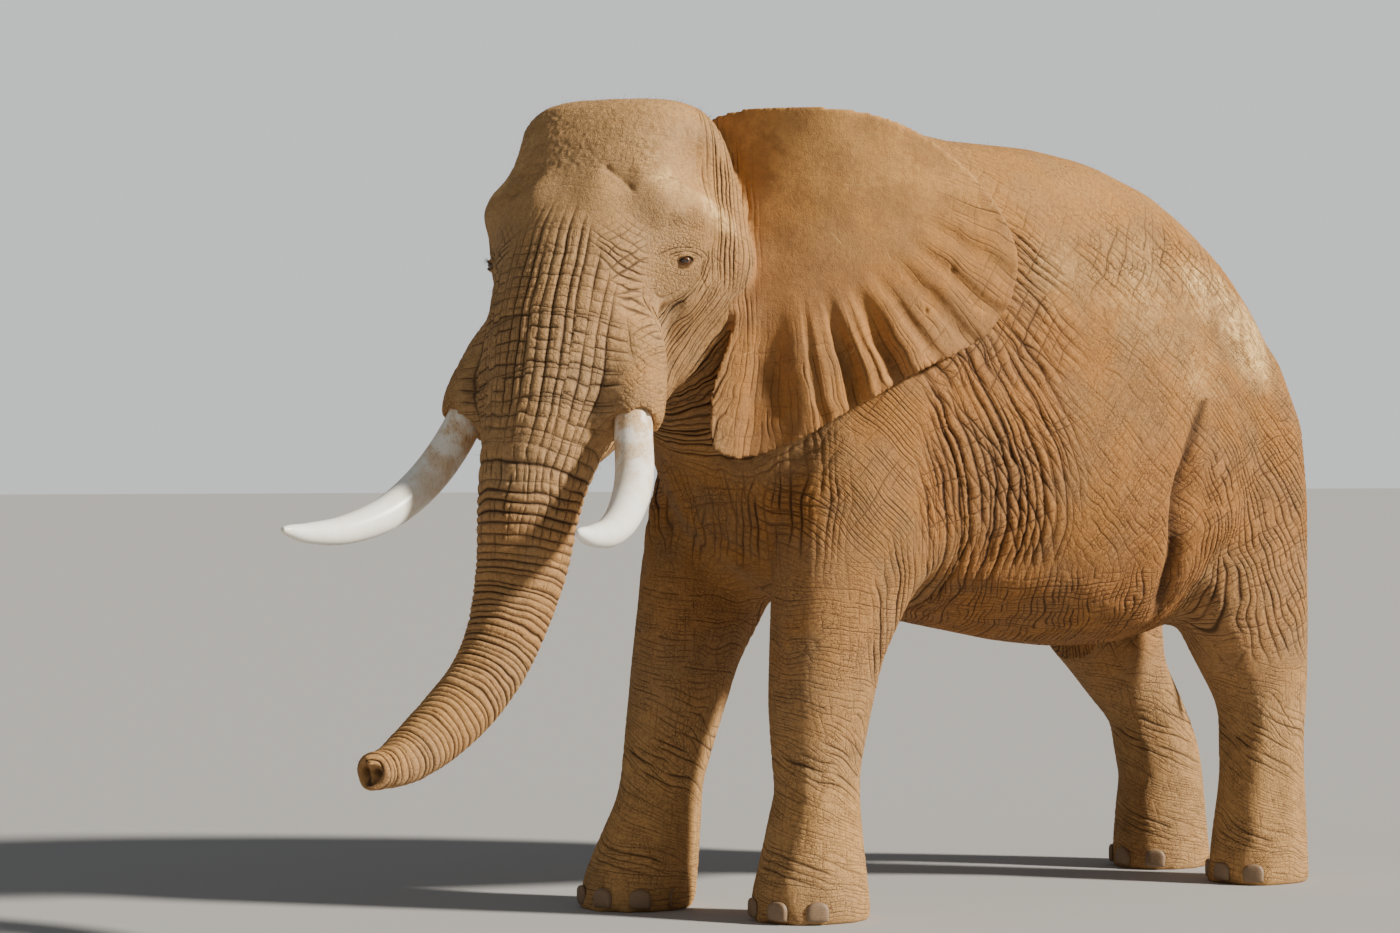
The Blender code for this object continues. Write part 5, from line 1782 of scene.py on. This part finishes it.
hide_finish = open_finish("dusty hide")
cloud = noise_of(0.26, 6.0, 0.58)
smear = noise_of(0.115, 5.0, 0.60)
worn = noise_of(0.034, 5.0, 0.65)
blotch = noise_of(0.024, 6.0, 0.68)
grain = noise_of(0.011, 4.0, 0.60)
dots = noise_of(0.0042, 3.0)
# This kept darkness is painted shade in creases, cracks, the groin, the nostrils and round the
# eyes.
painted_hollow_shade = attribute("painted_hollow_shade")
ear = attribute("ear")
patchy = ranged(noise_of(0.075, 3.0), 0.40, 0.60, 0.25, 1.0)
nets = [crack_pattern(name) for name in ("first", "second")]
cuts = [cut_lines("cut_%d" % number) for number in range(CUT_LAYERS)]
thin = strongest_line([sharp for sharp, _ in cuts])
wide = strongest_line([around for _, around in cuts])
fine = times(patchy, strongest_line([drawn(pattern, 0.01, 0.13) for pattern in nets]))
print("noises and lines of the hide ready")

# %% Lay the coats of colour
greyer = times(ranged(cloud, 0.40, 0.62), ranged(ear, 0.0, 1.0, 1.0, 0.75))
raised = ranged(wide, 0.0, 0.6, 0.42, 0.0)
speckle = times(ranged(grain, 0.40, 0.72), ranged(ear, 0.0, 1.0, 1.0, 0.35))
contour = figured("ABSOLUTE", figured("SUBTRACT", noise_of(0.30, 1.0), 0.47), 0.0)
scratched = times(ranged(contour, 0.001, 0.004, 0.30, 0.0),
                  ranged(noise_of(0.10, 3.0), 0.50, 0.60))
pores = times(ranged(grain, 0.30, 0.47, 0.30, 0.0), ranged(ear, 0.0, 1.0, 1.0, 0.4))

colour = mixed(greyer, DUST, GREY_HIDE)
for amount, coat in (
        (times(attribute("clay"), 0.65), RED_EARTH),
        # The ash coat is partly the greyer hide and partly painted light.
        (times(attribute("ash_and_painted_light"), 0.62), ASH_AND_LIGHT),
        (times(raised, speckle), DUST_PALE),
        (times(attribute("settled"), 0.55), DUST_PALE),
        (times(scratched, ear), RUBBED),
        (times(attribute("rubbed"), ranged(worn, 0.36, 0.60, 0.25, 1.0)), RUBBED),
        (ranged(blotch, 0.42, 0.66, 0.0, 0.34), STAIN),
        (times(ranged(smear, 0.44, 0.60, 0.0, 0.36), ear), STAIN),
        (pores, STAIN),
        # The last four coats are painted shade: round the cuts, in the cracks of the nets, in the
        # cuts and in the kept hollows.
        (ranged(wide, 0.15, 1.0, 0.0, 0.34), PAINTED_SHADE_BROWN),
        (times(fine, 0.62), PAINTED_SHADE_BROWN),
        (times(thin, 0.84), PAINTED_SHADE_BROWN),
        (ranged(painted_hollow_shade, 0.30, 1.0, 0.0, 0.72), PAINTED_SHADE_BROWN)):
    colour = mixed(amount, colour, coat)
links.new(colour, shader.inputs["Base Color"])
shader.inputs["Roughness"].default_value = 0.86
shader.inputs["Specular IOR Level"].default_value = 0.28
print("coats of colour laid")

# %% Add the bumps and put the hide in place
PEBBLE = 0.0085

cracks = nodes.new("ShaderNodeTexVoronoi")
cracks.feature = "DISTANCE_TO_EDGE"
cracks.inputs["Scale"].default_value = 1.0 / PEBBLE
links.new(place, cracks.inputs["Vector"])
up_to_ear = figured("SUBTRACT", 1.0, times(ear, 0.7))
crack_height = times(ranged(cracks.outputs["Distance"], 0.0, 0.16), up_to_ear)
sunk = figured("ADD", times(fine, 0.30), figured("ADD", times(wide, 0.45), times(thin, 0.55)))
normal = None
for relief, distance, strength in (
        (crack_height, 0.0013, 0.8), (dots, 0.0014, 0.8), (times(grain, up_to_ear), 0.0046, 0.6),
        (blotch, 0.0070, 0.5), (figured("SUBTRACT", 1.0, sunk), 0.0060, 1.0)):
    normal = bumped(relief, distance, strength, normal)
links.new(normal, shader.inputs["Normal"])
hide_mesh.materials.append(hide_finish)
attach(hide, "root")
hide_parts(*FLESH, *EARS)
print("hide finished")

# %% [markdown]
# ## The eyes
#
# The ball is wet and dark, with an amber-brown iris round a black pupil. The iris is drawn
# by the distance from the middle of the gaze, which is kept with each point of the ball.

# %% Make the eyes
def eyeball(name, node, middle, gaze):
    """One ball with the bulge of the cornea, turned to its gaze."""
    outward, along, upward = gaze
    builder = bmesh.new()
    builder.loops.layers.uv.new("OFBake")
    bmesh.ops.create_uvsphere(builder, u_segments=64, v_segments=40, radius=EYE_RADIUS,
                              calc_uvs=True)
    turned = Matrix((along, upward, outward)).transposed()
    if turned.determinant() < 0.0:
        turned = Matrix((-along, upward, outward)).transposed()
    for vertex in builder.verts:
        axis = vertex.co.normalized()
        bulge = 0.0022 * math.exp(-((1.0 - axis.z) / 0.10)**2)
        vertex.co = turned @ (axis * (EYE_RADIUS + bulge)) + middle
    mesh = mesh_from(name, builder)
    mesh.shade_smooth()
    heads = np.empty(len(mesh.vertices) * 3)
    mesh.vertices.foreach_get("co", heads)
    away = heads.reshape(-1, 3) - np.array(middle)
    facing = away @ np.array(outward) / np.linalg.norm(away, axis=1)
    keep_values(mesh, "off_gaze", np.arccos(np.clip(facing, -1.0, 1.0)))
    made = object_from(name, mesh)
    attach(made, "root")
    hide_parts(node)
    return made


IRIS_DARK = (0.045, 0.018, 0.006)
IRIS_AMBER = (0.20, 0.085, 0.028)
PUPIL = (0.002, 0.002, 0.002)
BALL_DARK = (0.030, 0.018, 0.012)

eye_finish = open_finish("wet eye")
off_gaze = attribute("off_gaze")
iris = mixed(noise_of(0.0018), IRIS_DARK, IRIS_AMBER)
colour = mixed(ranged(off_gaze, 0.17, 0.21), PUPIL, iris)
colour = mixed(ranged(off_gaze, 0.46, 0.54), colour, BALL_DARK)
links.new(colour, shader.inputs["Base Color"])
shader.inputs["Roughness"].default_value = 0.12
shader.inputs["Coat Weight"].default_value = 1.0
shader.inputs["Coat Roughness"].default_value = 0.03
for name, node, middle, gaze in (("left_eyeball", "eye_left", left_eye, left_gaze),
                                 ("right_eyeball", "eye_right", right_eye, right_gaze)):
    ball = eyeball(name, node, middle, gaze)
    ball.data.materials.append(eye_finish)
print("eyes made")

# %% [markdown]
# ## The tusks
#
# A tusk is a curved tooth, round in section, that thins late towards a worn tip. It is
# drawn as a tube through a few stations and turned by its own path.

# %% Write the tube tool
TUSK_STATIONS = [
    (0.330, 0.515, 2.00, 0.066), (0.362, 0.580, 1.85, 0.0695), (0.425, 0.700, 1.685, 0.0695),
    (0.480, 0.880, 1.565, 0.0635), (0.530, 1.090, 1.505, 0.0525), (0.562, 1.280, 1.495, 0.0375),
    (0.578, 1.390, 1.505, 0.021), (0.583, 1.425, 1.510, 0.009),
]
TUSK_STEPS = 16
TUSK_ROUND = 64


def tube_mesh(name, line, radii, around, start=None):
    """A closed round tube along a line, with a flat pattern and the length kept."""
    line, radii = np.array(line), np.array(radii)
    heading = np.gradient(line, axis=0)
    heading /= np.linalg.norm(heading, axis=1)[:, None]
    across = np.cross(heading[0], start if start is not None else (0.0, 0.0, 1.0))
    points, across = [], across / np.linalg.norm(across)
    turn = np.linspace(0.0, 2.0 * math.pi, around, endpoint=False)
    for centre, ahead_here, radius in zip(line, heading, radii):
        across = across - ahead_here * (across @ ahead_here)
        across /= np.linalg.norm(across)
        other = np.cross(ahead_here, across)
        points.append(centre + radius * (np.cos(turn)[:, None] * across
                                         + np.sin(turn)[:, None] * other))
    count = len(line)
    points = np.concatenate([*points, line[:1], line[-1:]])
    faces, places = [], []
    for i in range(count - 1):
        for j in range(around):
            k = (j + 1) % around
            faces.append((i * around + j, i * around + k, (i + 1) * around + k,
                          (i + 1) * around + j))
            u0, u1 = j / around, (j + 1) / around
            v0, v1 = i / count, (i + 1) / count
            places += [(u0, v0), (u1, v0), (u1, v1), (u0, v1)]
    for j in range(around):
        k = (j + 1) % around
        faces.append((count * around, k, j))
        faces.append((count * around + 1, (count - 1) * around + j, (count - 1) * around + k))
        places += [(0.5, 0.0), (j / around, 0.0), (j / around, 0.0)]
        places += [(0.5, 1.0), (j / around, 0.99), (j / around, 1.0)]
    mesh = bpy.data.meshes.new(name)
    mesh.from_pydata(points.tolist(), [], faces)
    layer = mesh.uv_layers.new(name="OFBake")
    layer.data.foreach_set("uv", np.array(places, np.float32).ravel())
    mesh.shade_smooth()
    passed = np.concatenate([[0.0], np.cumsum(np.linalg.norm(np.diff(line, axis=0), axis=1))])
    lengths = np.concatenate([np.repeat(passed, around), passed[:1], passed[-1:]])
    keep_values(mesh, "along", lengths / passed[-1])
    return mesh


print("tube tool ready")

# %% Make the tusks
def make_tusk(side_name, sign):
    """One tusk through the stations, on the side with the given sign."""
    stations = open_curve(TUSK_STATIONS, TUSK_STEPS)
    line = [in_head(sign * side, ahead, height)[:] for side, ahead, height, _ in stations]
    mesh = tube_mesh("tusk_" + side_name, line, stations[:, 3], TUSK_ROUND)
    made = object_from(side_name + "_tusk", mesh)
    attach(made, "root")
    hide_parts("tusk_" + side_name)
    return made


IVORY = (0.98, 0.96, 0.88)
IVORY_WARM = (0.93, 0.89, 0.77)
IVORY_STAIN = (0.66, 0.43, 0.21)
IVORY_LINES = (0.36, 0.20, 0.09)
IVORY_PITS = (0.09, 0.05, 0.03)

ivory_finish = open_finish("worn ivory")
along = attribute("along")
cloud = noise_of(0.08)
stain = times(ranged(along, 0.12, 0.58, 0.9, 0.0), ranged(cloud, 0.40, 0.60, 0.25, 1.0))
lengthwise = nodes.new("ShaderNodeMapping")
lengthwise.inputs["Scale"].default_value = (1.0, 1.0, 0.12)
links.new(place, lengthwise.inputs["Vector"])
grain_lines = ranged(noise_of(0.006, 5.0, 0.65, lengthwise.outputs[0]), 0.50, 0.66)
pits = times(ranged(noise_of(0.007, 2.0), 0.70, 0.76, 0.0, 0.8),
             ranged(along, 0.05, 0.65, 1.0, 0.0))
colour = mixed(ranged(cloud, 0.3, 0.7), IVORY, IVORY_WARM)
for amount, coat in ((stain, IVORY_STAIN), (times(stain, grain_lines), IVORY_LINES),
                     (pits, IVORY_PITS)):
    colour = mixed(amount, colour, coat)
links.new(colour, shader.inputs["Base Color"])
shader.inputs["Roughness"].default_value = 0.34
shader.inputs["Subsurface Weight"].default_value = 0.08
links.new(bumped(cloud, 0.0010, 0.4), shader.inputs["Normal"])
for side_name, sign in (("left", 1.0), ("right", -1.0)):
    make_tusk(side_name, sign).data.materials.append(ivory_finish)
print("tusks made")

# %% [markdown]
# ## Nails
#
# The nails are low domes of horn at the front edge of each foot, paler than the hide, with
# growth ridges along the foot.

# %% Write the nail tool
NAILS = {"fore_left": 4, "fore_right": 4, "hind_left": 3, "hind_right": 3}
NAIL_HALF = (0.044, 0.017, 0.039)
NAIL_SUNK = 0.003
NAIL_GRID = 24


def nail_mesh(builder, node, foot_middle):
    """Adds one nail, a low dome that faces away from the middle of its foot."""
    middle = middle_of(node)
    outward = middle - foot_middle
    outward.z = 0.0
    outward.normalize()
    beside_way = UP.cross(outward)
    wide, thick, tall = NAIL_HALF
    grid, rows = NAIL_GRID, []
    for i in range(grid + 1):
        row = []
        for j in range(grid + 1):
            u, v = 2.0 * i / grid - 1.0, 2.0 * j / grid - 1.0
            rounding = 0.12 if v < 0.0 else 0.46
            uu = u * math.sqrt(1.0 - rounding * v * v)
            vv = v * math.sqrt(1.0 - rounding * u * u)
            rise = ((1.0 - u**4) * (1.0 - v**4))**0.36
            ridge = 0.0005 * math.sin(vv * 26.0) * rise
            row.append(builder.verts.new(
                middle + beside_way * uu * wide + UP * vv * tall
                + outward * (rise * thick - NAIL_SUNK + ridge)))
        rows.append(row)
    layer = builder.loops.layers.uv.verify()
    for i in range(grid):
        for j in range(grid):
            face = builder.faces.new((rows[i][j], rows[i + 1][j], rows[i + 1][j + 1],
                                      rows[i][j + 1]))
            for loop, (a, b) in zip(face.loops, ((i, j), (i + 1, j), (i + 1, j + 1), (i, j + 1))):
                loop[layer].uv = (a / grid, b / grid)


print("nail tool ready")

# %% Make the nails
HORN_DARK = (0.17, 0.105, 0.058)
HORN_PALE = (0.30, 0.195, 0.110)

horn_finish = open_finish("horn")
streak = noise_of(0.010)
links.new(mixed(streak, HORN_DARK, HORN_PALE), shader.inputs["Base Color"])
shader.inputs["Roughness"].default_value = 0.6
links.new(bumped(streak, 0.0008, 0.6), shader.inputs["Normal"])
for foot, count in NAILS.items():
    foot_name = foot.replace("fore", "forefoot").replace("hind", "hindfoot")
    builder = bmesh.new()
    names = ["nail_%s_%d" % (foot, i + 1) for i in range(count)]
    for node in names:
        nail_mesh(builder, node, middle_of(foot_name))
    bmesh.ops.recalc_face_normals(builder, faces=builder.faces)
    mesh = mesh_from("nails_" + foot, builder)
    mesh.uv_layers[0].name = "OFBake"
    mesh.shade_smooth()
    mesh.materials.append(horn_finish)
    made = object_from("nails_" + foot, mesh)
    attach(made, "root")
    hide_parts(*names)
print("nails made")

# %% [markdown]
# ## Hair
#
# An elephant has little hair, but what it has is as stiff as wire: a flat brush on the
# tail, lashes, a thin beard under the chin, and sparse bristles on the crown, the trunk and
# the back. Each hair is a thin tapering tube, and the hairs of a place are one mesh. A hair
# takes its place in the flat pattern from the point of the hide that it grows from.

# %% Write the tool for hairs
HAIR_PATCH = 0.003

corner_of = np.zeros(len(points), np.int64)
corner_of[triangles.ravel()] = np.arange(triangles.size)


def flat_place(number):
    """Where a point of the hide lies in the flat pattern."""
    return flat.reshape(-1, 2)[corner_of[number]]


def hair_mesh(name, hairs, roots, thick):
    """All hairs as three-sided tapering tubes; each hair is a row of points."""
    lines = np.array(hairs)
    count, rings = lines.shape[:2]
    heading = np.gradient(lines, axis=1)
    heading /= np.linalg.norm(heading, axis=2)[:, :, None]
    across = np.cross(heading, (0.31, 0.87, 0.38))
    across /= np.linalg.norm(across, axis=2)[:, :, None]
    other = np.cross(heading, across)
    radius = thick * (1.0 - 0.92 * np.arange(rings) / (rings - 1))[None, :, None]
    turned = [lines + radius * (math.cos(turn) * across + math.sin(turn) * other)
              for turn in (0.0, 2.0 * math.pi / 3.0, 4.0 * math.pi / 3.0)]
    places = np.stack(turned, axis=2).reshape(-1, 3)
    shape = []
    for i in range(rings - 1):
        for k in range(3):
            a, b = 3 * i + k, 3 * i + (k + 1) % 3
            shape += [(a, b, b + 3), (a, b + 3, a + 3)]
    last = 3 * (rings - 1)
    shape += [(2, 1, 0), (last, last + 1, last + 2)]
    faces = (3 * rings * np.arange(count)[:, None, None] + np.array(shape)).reshape(-1, 3)
    spots = np.array([flat_place(root) for root in roots])
    patch = HAIR_PATCH * np.array([(0.0, 0.0), (1.0, 0.0), (0.5, 1.0)])
    pattern = np.repeat(spots[:, None, None, :] + patch, len(shape), axis=1)
    mesh = filled_mesh(name, places, faces, pattern)
    made = object_from(name, mesh)
    mesh.materials.append(hair_finish)
    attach(made, "root")
    return made


HAIR_DARK = (0.012, 0.008, 0.006)
HAIR_BROWN = (0.07, 0.045, 0.03)

hair_finish = open_finish("stiff hair")
links.new(mixed(noise_of(0.02), HAIR_DARK, HAIR_BROWN), shader.inputs["Base Color"])
shader.inputs["Roughness"].default_value = 0.45
print("hair tool ready")

# %% Make the tail's brush
TUFT_HAIRS = 420
TUFT_HAIR_THICK = 0.0011
TUFT_DROP = 0.16

tuft_low, tuft_high = (np.array(corner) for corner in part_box("tail_tuft"))
tuft_middle = (tuft_low + tuft_high) / 2.0
near_tuft = np.flatnonzero(reach_from(points, (*tuft_middle[:2], tuft_high[2])) < 0.60)
hairs, roots = [], []
for number in range(TUFT_HAIRS):
    throw = [float(dice(number, k, 7, 71)) for k in range(6)]
    front = 1.0 if throw[0] < 0.5 else -1.0
    start_drop = TUFT_DROP * throw[1]
    root = np.array((tuft_middle[0] + 0.018 * (throw[2] - 0.5),
                     tuft_middle[1] + front * (0.016 + 0.010 * throw[3]),
                     tuft_high[2] + 0.01 - start_drop))
    reach = (tuft_high[2] - tuft_low[2] - start_drop) * (0.55 + 0.45 * throw[4])
    swing = front * (0.020 + 0.035 * throw[5])
    part = np.linspace(0.0, 1.0, 7)
    hairs.append(root + np.stack([0.030 * (throw[2] - 0.5) * part, swing * np.sin(part * 1.9),
                                  -reach * part], axis=1))
    roots.append(near_tuft[np.argmin(reach_from(points[near_tuft], root))])
brush = hair_mesh("tail_brush", hairs, roots, TUFT_HAIR_THICK)
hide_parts("tail_tuft")
print("tail brush:", TUFT_HAIRS, "hairs")

# %% Make the lashes and the bristles
def bristles(name, where, count, length, lean, thick, seed):
    """Hairs that grow from chosen points of the hide and lean one way."""
    chosen = np.flatnonzero(where)
    picks = chosen[(dice(np.arange(count), 9, 0, seed) * len(chosen)).astype(int)]
    part = np.linspace(0.0, 1.0, 5)[None, :, None]
    size = length * (0.5 + 0.5 * dice(np.arange(count), 9, 1, seed))[:, None, None]
    stray = np.stack([dice(np.arange(count), 9, k, seed) - 0.5 for k in (2, 3, 4)], axis=1)
    start = normals[picks] + 0.5 * stray
    bend = np.array(lean) + 0.6 * stray
    hairs = (points[picks] - 0.002 * normals[picks])[:, None, :] + size * (
        start[:, None, :] * part + 0.5 * bend[:, None, :] * part**2)
    made = hair_mesh(name, hairs, picks, thick)
    return made


upper_lid = (lid_gap > 0.001) & (lid_gap < 0.006) & (height > EYE_HEIGHT + 0.004)
under_chin = (on_head > 0.5) & (height < 2.12) & (normals[:, 2] < -0.25) & (ahead < 0.35)
on_crown = (on_head > 0.5) & (height > 2.75) & (normals[:, 2] > 0.15)
down_trunk = (on_trunk > 0.6) & (length > 0.5)
on_back = (on_body > 0.6) & (normals[:, 2] > 0.75)
BRISTLES = [
    # name, where, count, length, lean, thickness, seed
    ("lashes", upper_lid, 44, 0.034, (0.35, -0.2, -0.75), 0.0005, 81),
    ("beard", under_chin, 260, 0.075, (0.0, 0.0, -0.6), 0.0005, 82),
    ("crown_bristles", on_crown, 700, 0.030, (0.0, 0.35, -0.1), 0.0004, 83),
    ("trunk_bristles", down_trunk, 800, 0.026, (0.0, 0.0, -0.5), 0.0004, 84),
    ("back_bristles", on_back, 600, 0.028, (0.0, 0.4, -0.2), 0.0004, 85),
]
for entry in BRISTLES:
    bristles(*entry)
print("bristles made")
